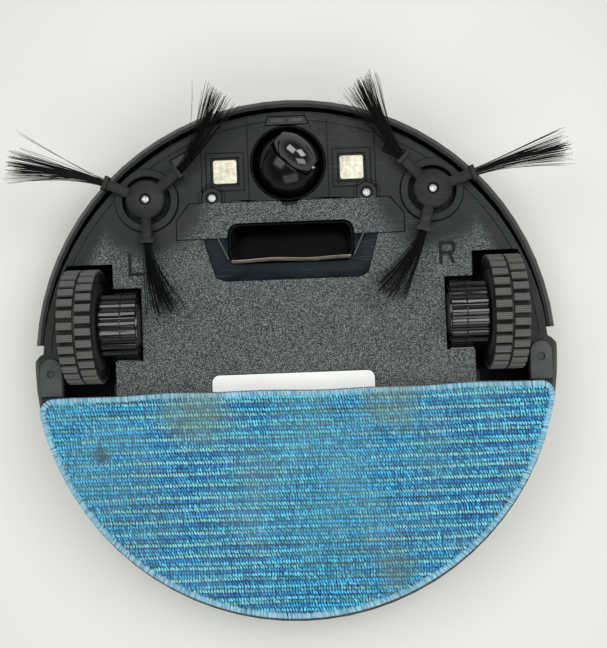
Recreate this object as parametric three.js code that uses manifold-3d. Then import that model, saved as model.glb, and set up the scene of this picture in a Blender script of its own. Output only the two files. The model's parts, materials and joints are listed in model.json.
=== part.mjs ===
// Robot vacuum cleaner with a mop pad, standing on its fully dropped drive wheels.
// Millimetres. +Z is up, the bumper faces -Y, and the origin is on the floor under the body's centre.
import * as THREE from 'three';
import { mergeVertices } from 'three/addons/utils/BufferGeometryUtils.js';
import Module from 'manifold-3d';

const wasm = await Module();
wasm.setup();

// Driving dimensions

const GAP = 0.3; // between neighbouring pieces
const SKIN = 0.1; // how far inset faces lie above the underside
const REACH = 200; // longer than any piece: cutting blocks run this far
const ROUND = 72; // sides of the body's large circles

const BODY = {
  radius: 151.5,
  frontRadius: 144.6, // the wall behind the bumper
  wall: 1.7,
  bottom: 28,
  floorTop: 31.5,
  chamferRadius: 147,
  chamferTop: 37,
  ledge: 41, // below it the tray narrows
  lowRearRadius: 144.5,
  split: 56, // base and top cover meet here
  roof: 91.5,
  top: 94,
  rimUnder: 88.2, // underside of the rim that overhangs the bumper
  stepStart: 1.5, // degrees ahead of the X axis where the body steps in for the bumper
  stepEnd: 3.2,
};

// The rounded upper edge of the top cover, as radius and height.
const TOP_EDGE = [[151.5, 89.4], [150.9, 91.6], [149.1, 93.1], [146, 94]];

// A short column that carries the top cover on the base, one a side.
const COLUMN = { x: 105, y: 75, radius: 4 };

const BUMPER = {
  travel: 4,
  end: -13, // Y of its two ends
  lip: 145.8,
  lipEnd: -8.7, // Y where the base stops making room for the lip
  pegX: 70,
  pegZ: 48,
  pegRadius: 3,
  pegFront: -133.3,
  pegRear: -118,
  pegHoleRear: -110,
  windowLow: 52,
  windowHigh: 72,
  windowHalf: 88,
  windowDepth: 1.1,
};

// The bumper's wall, as radius and height: the lip underneath, the face, the top edge, then back inside.
const BUMPER_SECTION = [
  [145.8, 32],
  [147.6, 32],
  [151.5, 39],
  [151.5, 84],
  [150.3, 86],
  [149.1, 86],
  [149.1, 37.2],
  [147.1, 34.4],
  [145.8, 34.4],
  [145.8, 32],
];

const MOUTH = { half: 34.5, front: -77, rear: -57, corner: 6, wall: 1.2 };
const DUCT = { low: 41.2, high: 53.2, throatTop: 54.2, wall: 1.3, front: -62, rear: 33.2 };
const TRAY = { frontHalf: 50, rearHalf: 41.5, front: -70.3, rear: -46, thick: 1.1, recess: 1.7 };
const LIP = { half: 34, front: -56.7, rear: -55.6, low: 21.5, high: 28.2, foot: 0.9 };

const COVER = {
  half: 65.3,
  front: -91,
  rear: -70.6,
  thick: 2.2,
  cornerX: 57.5,
  cornerY: -81.5,
  ear: 5.8,
  pryHalf: 4.5,
  pryFront: -90.9,
  pryRear: -88.4,
  pryDepth: 0.8,
};

const COVER_SCREW = {
  x: 44.5,
  y: -94,
  head: 3.1,
  headThick: 1.2,
  shank: 1.5,
  length: 6,
  counterbore: 3.5,
  counterDepth: 1.5,
};

const BATTERY = {
  half: 57,
  front: -89.9,
  rear: -79.2,
  low: 32,
  high: 74,
  guideGap: 0.9,
  guideThick: 1.6,
  guideFront: -83.5,
  guideTop: 60,
};

const CONTACT = { x: 36.4, y: -108.8, half: 7, frame: 8.2, depth: 1.3, thick: 0.9 };
const LABEL = { left: -48, right: 45, front: 8, rear: 62, thick: 0.4, recess: 0.8, corner: 4 };

const CLIFF = {
  half: 12.5,
  depth: 4.6,
  y: -137.2,
  taper: 2,
  inset: 0.4,
  thick: 2.6,
  sideRadius: 132,
  sideAngle: 27.5,
  sideHalf: 6,
  sideDepth: 5,
};

const CASTER = {
  y: -112.5,
  hole: 21.9,
  bowl: 21.6,
  bowlInner: 20.3,
  bowlTop: 46.4,
  bowlCeiling: 44.6,
  yaw: 42, // degrees: the roller trails towards the front right
  dome: 18.6,
  domeLow: 20.5,
  domeTop: 41.5,
  pin: 2,
  pinTop: 47.5,
  roller: 10.5,
  rollerEnd: 8.2,
  rollerHalf: 13,
  crown: 0.5, // the roller narrows by this much, a little way from its middle
  crownHalf: 7,
  trail: 7,
  rollerZ: 27.5,
  axle: 1.5,
  axleHalf: 15.4,
  collar: 7.5,
  collarNeck: 3.4,
  socketHole: 3.8,
};

const BRUSH = {
  x: 81.8,
  y: -93.7,
  hole: 18.3,
  flange: 18,
  flangeInner: 14,
  flangeLow: 25.6,
  roof: 33.6,
  roofTop: 36,
  can: 12,
  canTop: 60,
  hub: 11,
  hubLow: 20.2,
  hubTop: 27.4,
  boss: 6.5,
  bossTop: 33,
  shaft: 2,
  shaftLow: 29.5,
  screwHead: 2.4,
  screwShank: 1.2,
  armHalf: 2.8,
  armReach: 24,
  armThick: 4,
  tuftRoot: 24.4,
  tuftThick: 2.6,
  tuftSlope: 0.06,
  tuftRootHalf: 2.2,
  tuftTipHalf: 6.4,
};

// Directions in degrees, seen from above: each arm, then the direction of its tuft's tip and its reach.
const ARMS = {
  left: [
    { arm: 203.6, tip: 196.2, reach: 76 },
    { arm: 322.7, tip: 309.5, reach: 72 },
    { arm: 88.8, tip: 79.9, reach: 68 },
  ],
  right: [
    { arm: 226.4, tip: 235.4, reach: 70.8 },
    { arm: 341.5, tip: 345.7, reach: 76 },
    { arm: 105.6, tip: 117, reach: 68 },
  ],
};

const WHEEL = {
  x: 120.5,
  y: -22.7,
  z: 33,
  radius: 33,
  root: 29.8,
  bore: 26,
  half: 9.5,
  lugs: 30,
  lugShare: 0.58,
  groove: 0.7,
  hubHalf: 8.5,
  dishIn: 7,
  dishOut: 20,
  dishFloor: 4,
};

const DRUM = {
  radius: 19.3,
  rootRadius: 18.2,
  ribs: 16,
  inner: -32.5,
  outer: -10.2,
  axle: 4,
  axleEnd: -15.5,
  motorRadius: 12.6,
  motorEnd: -17.2,
  ribShare: 0.4,
};

// The swing arm turns on a fixed pin behind the axle and above it; measured from the axle.
const SWING = {
  y: 38,
  z: 8,
  pin: 3,
  boss: 7,
  armIn: -31,
  armOut: -17.2,
  coilIn: -22.6,
  coil: 5.2,
  coilTurns: 3,
  coilLength: 3.4,
  wire: 0.45,
};

// The side of the swing arm, as distance behind the axle and above it.
const ARM_WEB = [[8, 17], [34, 14.4], [40, 13.6], [43.6, 9], [42, 3], [36, 1.3], [18, 1.3], [8, 1.3]];

const WELL = {
  slotIn: 104,
  slotOut: 133.2,
  slotFront: -58,
  slotRear: 19,
  windowIn: 87,
  windowFront: -43.8,
  windowRear: -2,
  low: 31.8,
  roof: 85.6,
  wall: 1.6,
  pocketIn: 86.3,
  pocketFront: -46,
  pocketRear: 26.4,
  earIn: 104.4,
  earHalf: 5,
};

const MARK = {
  x: 89.2,
  y: -57.5,
  half: 6.5,
  width: 4.6,
  stroke: 1.7,
  depth: 0.6,
  round: 1,
  legTilt: 20,
  legX: 1.2,
};

const TAB = {
  inner: 133.5,
  outer: 146,
  front: -5,
  rear: 16.5,
  low: 25.2,
  hole: 2.3,
  holeY: 3.75,
  holeTop: 27.5,
};

const MOP = {
  arcY: -2.5,
  plateRadius: 142,
  plateFront: 19,
  plateLow: 24.1,
  plateTop: 27.7,
  clothRadius: 147.8,
  clothFront: 17.5,
  clothLow: 18,
  clothTop: 23.8,
  corner: 7,
  studs: [[-62, 42], [62, 42], [-62, 112], [62, 112]],
  stud: 3.2,
  studTop: 30.4,
  studGap: 0.4,
};

// The walls and rails that hold the dustbin, and its opening in the body's rear.
const BAY = {
  half: 76.5,
  inner: 74.5,
  front: 33.5,
  frontRear: 35.5,
  wallTop: 85,
  wallRear: 127,
  railIn: 64,
  rail: 39.2,
  openingHalf: 73.3,
  openingFront: 100,
};

const BIN = {
  half: 72.5,
  front: 37,
  radius: 151.1,
  low: 39.5,
  high: 85.5,
  wall: 2,
  lidTop: 87.8,
  opening: 88.4,
};
const FILTER = { half: 30, low: 58, high: 82, front: 39.4, rear: 47 };

const RELEASE = {
  half: 14,
  low: 58,
  high: 70,
  back: 144.5,
  pocketBack: 141.5,
  pocketRear: 148.5,
  frame: 3,
  frameHigh: 4,
  frameBack: 2,
};

const FAN = {
  y: -6,
  radius: 32,
  low: 57.5,
  high: 76,
  floor: 1.5,
  wall: 2,
  snoutHalf: 20,
  snoutLow: 60,
  snoutHigh: 74,
  snoutFront: 10,
  ventHalf: 8,
  ventDepth: 6,
  ventInset: 4,
  impeller: 27,
  impellerLow: 61,
  hub: 6,
  hubHigh: 11,
  blades: 9,
  bladeHigh: 9.5,
  bladeHalf: 0.6,
  motor: 14,
  shaft: 1.5,
  shaftDepth: 11,
};

const BOARD = { half: 68, front: -76, rear: -36, low: 84, thick: 1.6, postX: 60, postInset: 6, post: 3 };
const CHIPS = { x: [-45, -18, 12, 40], half: 6, front: -66, rear: -52, deep: 6 };
const PANEL = { radius: 120, depth: 0.9, rise: 0.3, sides: 48 };

const BUTTON = {
  y: -95,
  radius: 10,
  hole: 10.4,
  flange: 11.4,
  flangeThick: 3.3,
  rise: 0.9,
  bevel: 1,
  ringInner: 10.8,
  ringOuter: 12.8,
  ringDepth: 1.7,
  ringRise: 0.2,
};

const JACK = {
  angle: 38,
  z: 48.5,
  radius: 5.2,
  length: 12,
  bore: 2.8,
  inset: 0.4,
  blind: 2,
  holeFrom: 136.5,
};

// Finishes

const DARK_GRAIN = { color: 0x2b2e2f, roughness: 0.7, metalness: 0 };
const SATIN_BLACK = { color: 0x17181a, roughness: 0.45, metalness: 0 };
const GLOSS_BLACK = { color: 0x08090b, roughness: 0.12, metalness: 0 };
const MID_GREY = { color: 0x46484a, roughness: 0.7, metalness: 0 };
const TYRE_GREY = { color: 0x3a3b3a, roughness: 0.85, metalness: 0 };
const SOFT_RUBBER = { color: 0x1d1e20, roughness: 0.75, metalness: 0 };
const PALE_RUBBER = { color: 0xb9ab98, roughness: 0.7, metalness: 0 };
const SMOKED = { color: 0x26404d, roughness: 0.2, metalness: 0 };
const INFRARED = { color: 0x14060c, roughness: 0.08, metalness: 0 };
const STEEL = { color: 0xb8babb, roughness: 0.35, metalness: 1 };
const NICKEL = { color: 0xd8d2c0, roughness: 0.4, metalness: 1 };
const BRISTLE = { color: 0x101112, roughness: 0.6, metalness: 0 };
const MICROFIBRE = { color: 0x3f9fc4, roughness: 1, metalness: 0 };
const PAPER = { color: 0xe6e6e2, roughness: 0.6, metalness: 0 };
const CELL_WRAP = { color: 0x2d5b9c, roughness: 0.4, metalness: 0 };
const CIRCUIT = { color: 0x1e5a36, roughness: 0.5, metalness: 0 };
const FILTER_WHITE = { color: 0xe9e7df, roughness: 0.9, metalness: 0 };
const BIN_CLEAR = { color: 0x3a4046, roughness: 0.2, metalness: 0 };
const LIGHT_GUIDE = { color: 0xbfd4e2, roughness: 0.3, metalness: 0 };

// Solids

// One closed, welded skin with its faces turned outwards.
function closed(geometry) {
  const bare = geometry.clone();
  bare.deleteAttribute('normal');
  bare.deleteAttribute('uv');
  const welded = mergeVertices(bare);
  const corners = welded.getIndex().array;
  const point = (i) => new THREE.Vector3().fromBufferAttribute(welded.getAttribute('position'), i);
  const triangles = [];
  let volume = 0;
  for (let i = 0; i < corners.length; i += 3) {
    const [a, b, c] = corners.slice(i, i + 3);
    if (a === b || b === c || c === a) continue;
    triangles.push([a, b, c]);
    volume += point(a).dot(point(b).cross(point(c)));
  }
  if (volume < 0) triangles.forEach((triangle) => triangle.reverse());
  welded.setIndex(triangles.flat());
  return welded;
}

function toManifold(geometry) {
  const vertProperties = new Float32Array(geometry.getAttribute('position').array);
  const triVerts = new Uint32Array(geometry.getIndex().array);
  return new wasm.Manifold(new wasm.Mesh({ numProp: 3, vertProperties, triVerts }));
}

function fromManifold(solid) {
  const mesh = solid.getMesh();
  const geometry = new THREE.BufferGeometry();
  geometry.setAttribute('position', new THREE.BufferAttribute(mesh.vertProperties, 3));
  geometry.setIndex(Array.from(mesh.triVerts));
  return geometry;
}

function combine(operation, first, others) {
  const result = others.reduce((sum, other) => sum[operation](toManifold(other)), toManifold(first));
  return fromManifold(result);
}

const join = (first, ...others) => combine('add', first, others);
const cut = (first, ...tools) => combine('subtract', first, tools);
const common = (first, ...others) => combine('intersect', first, others);

function mirrorX(geometry) {
  const copy = geometry.clone().scale(-1, 1, 1);
  const corners = Array.from(copy.getIndex().array);
  copy.setIndex(corners.reverse());
  return copy;
}

// The piece itself on the right (+X), its mirror image on the left.
const onSide = (side, geometry) => (side > 0 ? geometry : mirrorX(geometry));

function block([x0, x1], [y0, y1], [z0, z1]) {
  const box = new THREE.BoxGeometry(x1 - x0, y1 - y0, z1 - z0);
  return closed(box.translate((x0 + x1) / 2, (y0 + y1) / 2, (z0 + z1) / 2));
}

function cylinder(radius, low, high, sides = 24) {
  const rod = new THREE.CylinderGeometry(radius, radius, high - low, sides);
  return closed(rod.rotateX(Math.PI / 2).translate(0, 0, (low + high) / 2));
}

function rodX(radius, from, to, sides = 16) {
  const rod = new THREE.CylinderGeometry(radius, radius, to - from, sides);
  return closed(rod.rotateZ(Math.PI / 2).translate((from + to) / 2, 0, 0));
}

function rodY(radius, from, to, sides = 16) {
  const rod = new THREE.CylinderGeometry(radius, radius, to - from, sides);
  return closed(rod.translate(0, (from + to) / 2, 0));
}

// A profile of [radius, height] points turned about the Z axis.
function turned(profile, sides) {
  const points = profile.map(([radius, height]) => new THREE.Vector2(radius, height));
  return closed(new THREE.LatheGeometry(points, sides).rotateX(Math.PI / 2));
}

function ring(inner, outer, low, high, sides = 24) {
  return turned([[inner, low], [outer, low], [outer, high], [inner, high], [inner, low]], sides);
}

function extrudeZ(points, low, high) {
  const settings = { depth: high - low, bevelEnabled: false };
  return closed(new THREE.ExtrudeGeometry(new THREE.Shape(points), settings).translate(0, 0, low));
}

// An outline drawn in Y and Z, pushed along X.
function extrudeX(points, from, to) {
  const settings = { depth: to - from, bevelEnabled: false };
  const prism = new THREE.ExtrudeGeometry(new THREE.Shape(points), settings);
  const axes = [new THREE.Vector3(0, 1, 0), new THREE.Vector3(0, 0, 1), new THREE.Vector3(1, 0, 0)];
  return closed(prism.applyMatrix4(new THREE.Matrix4().makeBasis(...axes)).translate(from, 0, 0));
}

// Outlines

const polar = (radius, degrees) => {
  const angle = THREE.MathUtils.degToRad(degrees);
  return new THREE.Vector2(radius * Math.cos(angle), radius * Math.sin(angle));
};

function arc(centreX, centreY, radius, from, to, steps) {
  const centre = new THREE.Vector2(centreX, centreY);
  const point = (i) => polar(radius, from + ((to - from) * i) / steps).add(centre);
  return Array.from({ length: steps + 1 }, (_, i) => point(i));
}

const outline = (pairs) => pairs.map(([x, y]) => new THREE.Vector2(x, y));

// The body's inside seen from above: a large radius behind, stepped in ahead for the bumper.
function bodyOutline(rearRadius, frontRadius) {
  return [
    ...arc(0, 0, rearRadius, -BODY.stepStart, 180 + BODY.stepStart, ROUND / 2),
    ...arc(0, 0, frontRadius, 180 + BODY.stepEnd, 360 - BODY.stepEnd, ROUND / 2),
  ];
}

// The space that the bumper takes from the round body.
function frontRelief(low, high) {
  const outside = arc(0, 0, REACH, 180 + BODY.stepStart, 360 - BODY.stepStart, 8);
  const wall = arc(0, 0, BODY.frontRadius, 360 - BODY.stepEnd, 180 + BODY.stepEnd, ROUND / 2);
  const right = polar(BODY.radius, -BODY.stepStart);
  const left = polar(BODY.radius, 180 + BODY.stepStart);
  return extrudeZ([...outside, right, ...wall, left], low, high);
}

function roundedRectangle(left, right, front, rear, corner) {
  return [
    ...arc(right - corner, rear - corner, corner, 0, 90, 4),
    ...arc(left + corner, rear - corner, corner, 90, 180, 4),
    ...arc(left + corner, front + corner, corner, 180, 270, 4),
    ...arc(right - corner, front + corner, corner, 270, 360, 4),
  ];
}

// A straight front edge and a round rear, with the two corners rounded.
function dShape(radius, front, corner) {
  const rise = front + corner - MOP.arcY;
  const cornerX = Math.sqrt((radius - corner) ** 2 - rise ** 2);
  const tangent = THREE.MathUtils.radToDeg(Math.atan2(rise, cornerX));
  return [
    ...arc(cornerX, front + corner, corner, -90, tangent, 5),
    ...arc(0, MOP.arcY, radius, tangent, 180 - tangent, ROUND / 2).slice(1, -1),
    ...arc(-cornerX, front + corner, corner, 180 - tangent, 270, 5),
  ];
}

// Teeth round a circle, each taking the given share of its pitch.
function toothed(outer, root, count, share, phase) {
  const pitch = 360 / count;
  return Array.from({ length: count }, (_, i) => {
    const start = (i + phase) * pitch;
    const end = start + pitch * share;
    return [polar(root, start), polar(outer, start), polar(outer, end), polar(root, end)];
  }).flat();
}

// The scene graph

const robot = new THREE.Group();

function piece(parent, name, geometry, finish) {
  const material = new THREE.MeshStandardMaterial({ ...finish, flatShading: true });
  const mesh = new THREE.Mesh(geometry, material);
  mesh.name = name;
  parent.add(mesh);
  return mesh;
}

const SIDES = [['left', -1], ['right', 1]];

// Casing

// The bumper's lip moves back by its travel, so the base is cut to a circle set back by that much.
function lipClearance() {
  const kept = cylinder(BUMPER.lip - 2 * GAP, 0, BODY.top, ROUND).translate(0, BUMPER.travel + GAP, 0);
  const front = block([-REACH, REACH], [-REACH, BUMPER.lipEnd], [0, BODY.chamferTop + GAP]);
  return cut(front, kept);
}

// The hollow of the body: narrow at the bottom, as wide as the walls allow above.
function lowTray(low, high, inset = 0) {
  const narrowed = cylinder(BUMPER.lip - 2 * GAP - BODY.wall - inset, low, high, ROUND);
  const walls = bodyOutline(BODY.lowRearRadius - inset, BODY.frontRadius - BODY.wall - inset);
  return common(extrudeZ(walls, low, high), narrowed.translate(0, BUMPER.travel + GAP, 0));
}

function highTray(low, high) {
  return extrudeZ(bodyOutline(BODY.radius - BODY.wall, BODY.frontRadius - BODY.wall), low, high);
}

function batteryCoverOutline(grow) {
  const half = COVER.half + grow;
  return extrudeZ(
    outline([
      [-half, COVER.rear + grow],
      [-half, COVER.cornerY],
      [-COVER.cornerX - grow, COVER.front - grow],
      [COVER.cornerX + grow, COVER.front - grow],
      [half, COVER.cornerY],
      [half, COVER.rear + grow],
    ]),
    BODY.bottom,
    BODY.bottom + COVER.thick + grow,
  );
}

function coverBlank(grow) {
  const ear = cylinder(COVER.ear + grow, BODY.bottom, BODY.bottom + COVER.thick + grow);
  const ears = SIDES.map(([, side]) => ear.clone().translate(side * COVER_SCREW.x, COVER_SCREW.y, 0));
  return join(batteryCoverOutline(grow), ...ears);
}

function trayOutline(grow) {
  const front = TRAY.front - grow;
  return outline([
    [-TRAY.frontHalf - grow, front],
    [TRAY.frontHalf + grow, front],
    [TRAY.rearHalf + grow + 2, TRAY.rear - 2],
    [TRAY.rearHalf + grow - 3, TRAY.rear + grow],
    [-TRAY.rearHalf - grow + 3, TRAY.rear + grow],
    [-TRAY.rearHalf - grow - 2, TRAY.rear - 2],
  ].reverse());
}

function mouthPrism(grow, low, high) {
  const half = MOUTH.half + grow;
  const shape = roundedRectangle(-half, half, MOUTH.front - grow, MOUTH.rear + grow, MOUTH.corner);
  return extrudeZ(shape, low, high);
}

function sideCliff(side, grow, low, high) {
  const half = CLIFF.sideHalf + grow;
  const depth = CLIFF.sideDepth / 2 + grow;
  const rear = depth - CLIFF.sideRadius;
  const slot = block([-half, half], [rear - 2 * depth, rear], [low, high]);
  return slot.rotateZ(THREE.MathUtils.degToRad(side * CLIFF.sideAngle));
}

function frontCliff(grow, low, high) {
  const half = CLIFF.half + grow;
  const depth = CLIFF.depth / 2 + grow;
  const narrow = half - CLIFF.taper;
  const [front, rear] = [CLIFF.y - depth, CLIFF.y + depth];
  return extrudeZ(outline([[-narrow, front], [narrow, front], [half, rear], [-half, rear]]), low, high);
}

// Recessed strokes of the side marks, read from underneath with the front upwards.
function markStrokes(side) {
  const top = BODY.bottom + MARK.depth;
  const stroke = (left, right, low, high) =>
    block([side * MARK.x + left, side * MARK.x + right], [MARK.y - high, MARK.y - low], [0, top]);
  const { half, width, stroke: thick } = MARK;
  const upright = stroke(-width, thick - width, -half, half);
  if (side < 0) return join(upright, stroke(-width, width, -half, thick - half));
  const bowl = [
    stroke(-width, width - MARK.round, half - thick, half),
    stroke(-width, width - MARK.round, -thick / 2, thick / 2),
    stroke(width - thick, width, thick / 2 - MARK.round / 2, half - MARK.round),
  ];
  const leg = block([-thick / 2, thick / 2], [0, half], [0, top]);
  leg.rotateZ(THREE.MathUtils.degToRad(-MARK.legTilt)).translate(MARK.x + MARK.legX, MARK.y, 0);
  return join(upright, ...bowl, leg);
}

function buildBase() {
  const { bottom, floorTop, split, radius, chamferRadius, chamferTop } = BODY;
  const rim = [[0, bottom], [chamferRadius, bottom], [radius, chamferTop], [radius, split], [0, split]];
  const shell = cut(
    turned(rim, ROUND),
    frontRelief(bottom - 1, split + 1),
    lipClearance(),
    lowTray(floorTop, BODY.ledge + 1),
    highTray(BODY.ledge, split + 1),
  );

  const additions = [];
  const through = [0, floorTop + 1];
  const rooted = floorTop - 1; // uprights start inside the floor
  const batteryHalf = BATTERY.half + 2 * GAP;
  const cuts = [
    mouthPrism(MOUTH.wall + GAP, ...through),
    extrudeZ(trayOutline(GAP), 0, bottom + TRAY.recess),
    cylinder(CASTER.hole, ...through, 28).translate(0, CASTER.y, 0),
    coverBlank(GAP),
    block([-batteryHalf, batteryHalf], [BATTERY.front - GAP, BATTERY.rear + GAP], through),
    frontCliff(GAP, ...through),
    extrudeZ(labelOutline(GAP), 0, bottom + LABEL.recess),
    block([-BAY.openingHalf, BAY.openingHalf], [BAY.openingFront, REACH], [BAY.rail, BODY.top]),
    rodX(JACK.radius + GAP, JACK.holeFrom, REACH)
      .translate(0, 0, JACK.z)
      .rotateZ(THREE.MathUtils.degToRad(JACK.angle)),
  ];
  const studHole = cylinder(MOP.stud + MOP.studGap, ...through, 16);
  MOP.studs.forEach(([x, y]) => cuts.push(studHole.clone().translate(x, y, 0)));

  for (const [, side] of SIDES) {
    const slot = block([WELL.slotIn - 1, WELL.slotOut], [WELL.slotFront, WELL.slotRear], through);
    cuts.push(onSide(side, common(slot, lowTray(0, floorTop + 2))));
    const window = block([WELL.windowIn, WELL.slotIn], [WELL.windowFront, WELL.windowRear], through);
    cuts.push(onSide(side, window));
    cuts.push(cylinder(BRUSH.hole, ...through).translate(side * BRUSH.x, BRUSH.y, 0));
    const screwHole = cylinder(COVER_SCREW.shank + GAP, ...through, 12);
    cuts.push(screwHole.translate(side * COVER_SCREW.x, COVER_SCREW.y, 0));
    const frame = block(
      [side * CONTACT.x - CONTACT.frame, side * CONTACT.x + CONTACT.frame],
      [CONTACT.y - CONTACT.frame, CONTACT.y + CONTACT.frame],
      [0, bottom + CONTACT.depth],
    );
    const pegHole = rodY(BUMPER.pegRadius + GAP, -REACH, BUMPER.pegHoleRear);
    cuts.push(frame, pegHole.translate(side * BUMPER.pegX, 0, BUMPER.pegZ));
    cuts.push(sideCliff(side, GAP, ...through), markStrokes(side));

    additions.push(onSide(side, buildTab()));
    const rail = block([BAY.railIn, BAY.inner + 1], [BAY.frontRear - 1, BAY.wallRear - 1], [rooted, BAY.rail]);
    additions.push(onSide(side, rail));
    const guideIn = BATTERY.half + BATTERY.guideGap;
    const guide = block(
      [guideIn, guideIn + BATTERY.guideThick],
      [BATTERY.guideFront, BATTERY.rear],
      [rooted, BATTERY.guideTop],
    );
    additions.push(onSide(side, guide));
    const column = cylinder(COLUMN.radius, rooted, split - GAP, 12);
    additions.push(column.translate(side * COLUMN.x, COLUMN.y, 0));
  }

  const { half: outer, inner, front, frontRear, wallRear } = BAY;
  const bayOutline = outline([
    [-outer, front],
    [outer, front],
    [outer, wallRear],
    [inner, wallRear],
    [inner, frontRear],
    [-inner, frontRear],
    [-inner, wallRear],
    [-outer, wallRear],
  ]);
  const bay = cut(
    extrudeZ(bayOutline, rooted, BAY.wallTop),
    block([-MOUTH.half - 2, MOUTH.half + 2], [0, REACH], [DUCT.low - 0.5, DUCT.high + 0.5]),
    block([-FAN.snoutHalf - 1, FAN.snoutHalf + 1], [0, REACH], [FAN.snoutLow - 1, FAN.snoutHigh + 1]),
  );
  return join(cut(shell, ...cuts), bay, ...additions);
}

// A rounded lug under the body's edge behind each wheel, with a blind screw hole.
function buildTab() {
  const half = (TAB.outer - TAB.inner) / 2;
  const centre = TAB.inner + half;
  const top = BODY.bottom + 1;
  const points = [
    new THREE.Vector2(TAB.outer, TAB.rear),
    new THREE.Vector2(TAB.inner, TAB.rear),
    ...arc(centre, TAB.front + half, half, 180, 360, 10),
  ];
  const hole = cylinder(TAB.hole, 0, TAB.holeTop, 12).translate(centre, TAB.holeY, 0);
  return cut(extrudeZ(points, TAB.low, top), hole);
}

function buildTopCover() {
  const { split, roof, top, radius, rimUnder } = BODY;
  const low = split + GAP;
  const post = cylinder(BOARD.post, BOARD.low + BOARD.thick + GAP, roof + 1, 12);
  const posts = [BOARD.front + BOARD.postInset, BOARD.rear - BOARD.postInset].flatMap((y) =>
    [-BOARD.postX, BOARD.postX].map((x) => post.clone().translate(x, y, 0)));
  const shell = cut(
    turned([[0, low], [radius, low], ...TOP_EDGE, [0, top]], ROUND),
    frontRelief(low - 1, rimUnder),
    highTray(split, roof),
    block([-BAY.openingHalf, BAY.openingHalf], [BAY.openingFront, REACH], [split, BIN.opening]),
    cylinder(PANEL.radius + GAP, top - PANEL.depth, top + 1, PANEL.sides),
    cylinder(BUTTON.hole, 0, top + 1).translate(0, BUTTON.y, 0),
    cylinder(BUTTON.ringOuter + GAP, top - BUTTON.ringDepth, top + 1).translate(0, BUTTON.y, 0),
  );
  return join(shell, ...posts);
}

function buildPanel() {
  const low = BODY.top - PANEL.depth + GAP;
  const disc = cylinder(PANEL.radius, low, BODY.top + PANEL.rise, PANEL.sides);
  return cut(disc, cylinder(BUTTON.ringOuter + 2 * GAP, 0, REACH).translate(0, BUTTON.y, 0));
}

function buildBumper() {
  const { end, pegX, pegZ, pegRadius, pegFront, pegRear } = BUMPER;
  const behind = block([-REACH, REACH], [end, REACH], [0, REACH]);
  const pegs = SIDES.map(([, side]) => rodY(pegRadius, pegFront, pegRear).translate(side * pegX, 0, pegZ));
  return join(cut(turned(BUMPER_SECTION, ROUND), behind, windowBand(0)), ...pegs);
}

function windowBand(shrink) {
  const { windowLow, windowHigh, windowHalf, windowDepth } = BUMPER;
  const inside = BODY.radius - windowDepth + shrink;
  const outside = BODY.radius + (shrink ? 0 : 1);
  const band = ring(inside, outside, windowLow + shrink, windowHigh - shrink, ROUND);
  const half = windowHalf - shrink;
  return common(band, block([-half, half], [-REACH, 0], [0, REACH]));
}

function buildBatteryCover() {
  const { pryHalf, pryFront, pryRear, pryDepth } = COVER;
  const { bottom, floorTop } = BODY;
  const screwHole = join(
    cylinder(COVER_SCREW.counterbore, 0, bottom + COVER_SCREW.counterDepth, 20),
    cylinder(COVER_SCREW.shank + GAP, 0, floorTop, 12),
  );
  return cut(
    coverBlank(0),
    cylinder(CASTER.hole + 2 * GAP, 0, floorTop, 28).translate(0, CASTER.y, 0),
    mouthPrism(MOUTH.wall + 2 * GAP, 0, floorTop),
    block([-pryHalf, pryHalf], [pryFront, pryRear], [0, bottom + pryDepth]),
    ...SIDES.map(([, side]) => screwHole.clone().translate(side * COVER_SCREW.x, COVER_SCREW.y, 0)),
  );
}

function buildCoverScrew() {
  const low = BODY.bottom + SKIN;
  const head = cylinder(COVER_SCREW.head, low, low + COVER_SCREW.headThick, 20);
  return join(head, cylinder(COVER_SCREW.shank, low + 1, low + COVER_SCREW.length, 12));
}

function labelOutline(grow) {
  const { left, right, front, rear, corner } = LABEL;
  return roundedRectangle(left - grow, right + grow, front - grow, rear + grow, corner);
}

function addCasing() {
  piece(robot, 'base_chassis', buildBase(), DARK_GRAIN);
  piece(robot, 'top_cover', buildTopCover(), SATIN_BLACK);
  piece(robot, 'top_panel', buildPanel(), GLOSS_BLACK);
  piece(robot, 'front_bumper', buildBumper(), SATIN_BLACK);
  piece(robot, 'bumper_window', windowBand(GAP), INFRARED);
  piece(robot, 'battery_cover', buildBatteryCover(), DARK_GRAIN);
  const inset = BODY.bottom + SKIN;
  piece(robot, 'rating_label', extrudeZ(labelOutline(0), inset, inset + LABEL.thick), PAPER);
  const cliffLow = BODY.bottom + CLIFF.inset;
  const cliffLevels = [cliffLow, cliffLow + CLIFF.thick];
  for (const [name, side] of SIDES) {
    const screw = piece(robot, `${name}_cover_screw`, buildCoverScrew(), STEEL);
    screw.position.set(side * COVER_SCREW.x, COVER_SCREW.y, 0);
    const half = CONTACT.half;
    const plate = block([-half, half], [-half, half], [inset, inset + CONTACT.thick]);
    const contact = piece(robot, `${name}_charging_contact`, plate, NICKEL);
    contact.position.set(side * CONTACT.x, CONTACT.y, 0);
    piece(robot, `${name}_cliff_window`, sideCliff(side, 0, ...cliffLevels), INFRARED);
  }
  piece(robot, 'front_cliff_window', frontCliff(0, ...cliffLevels), INFRARED);
}

// Button, its light ring and the charging jack

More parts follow.
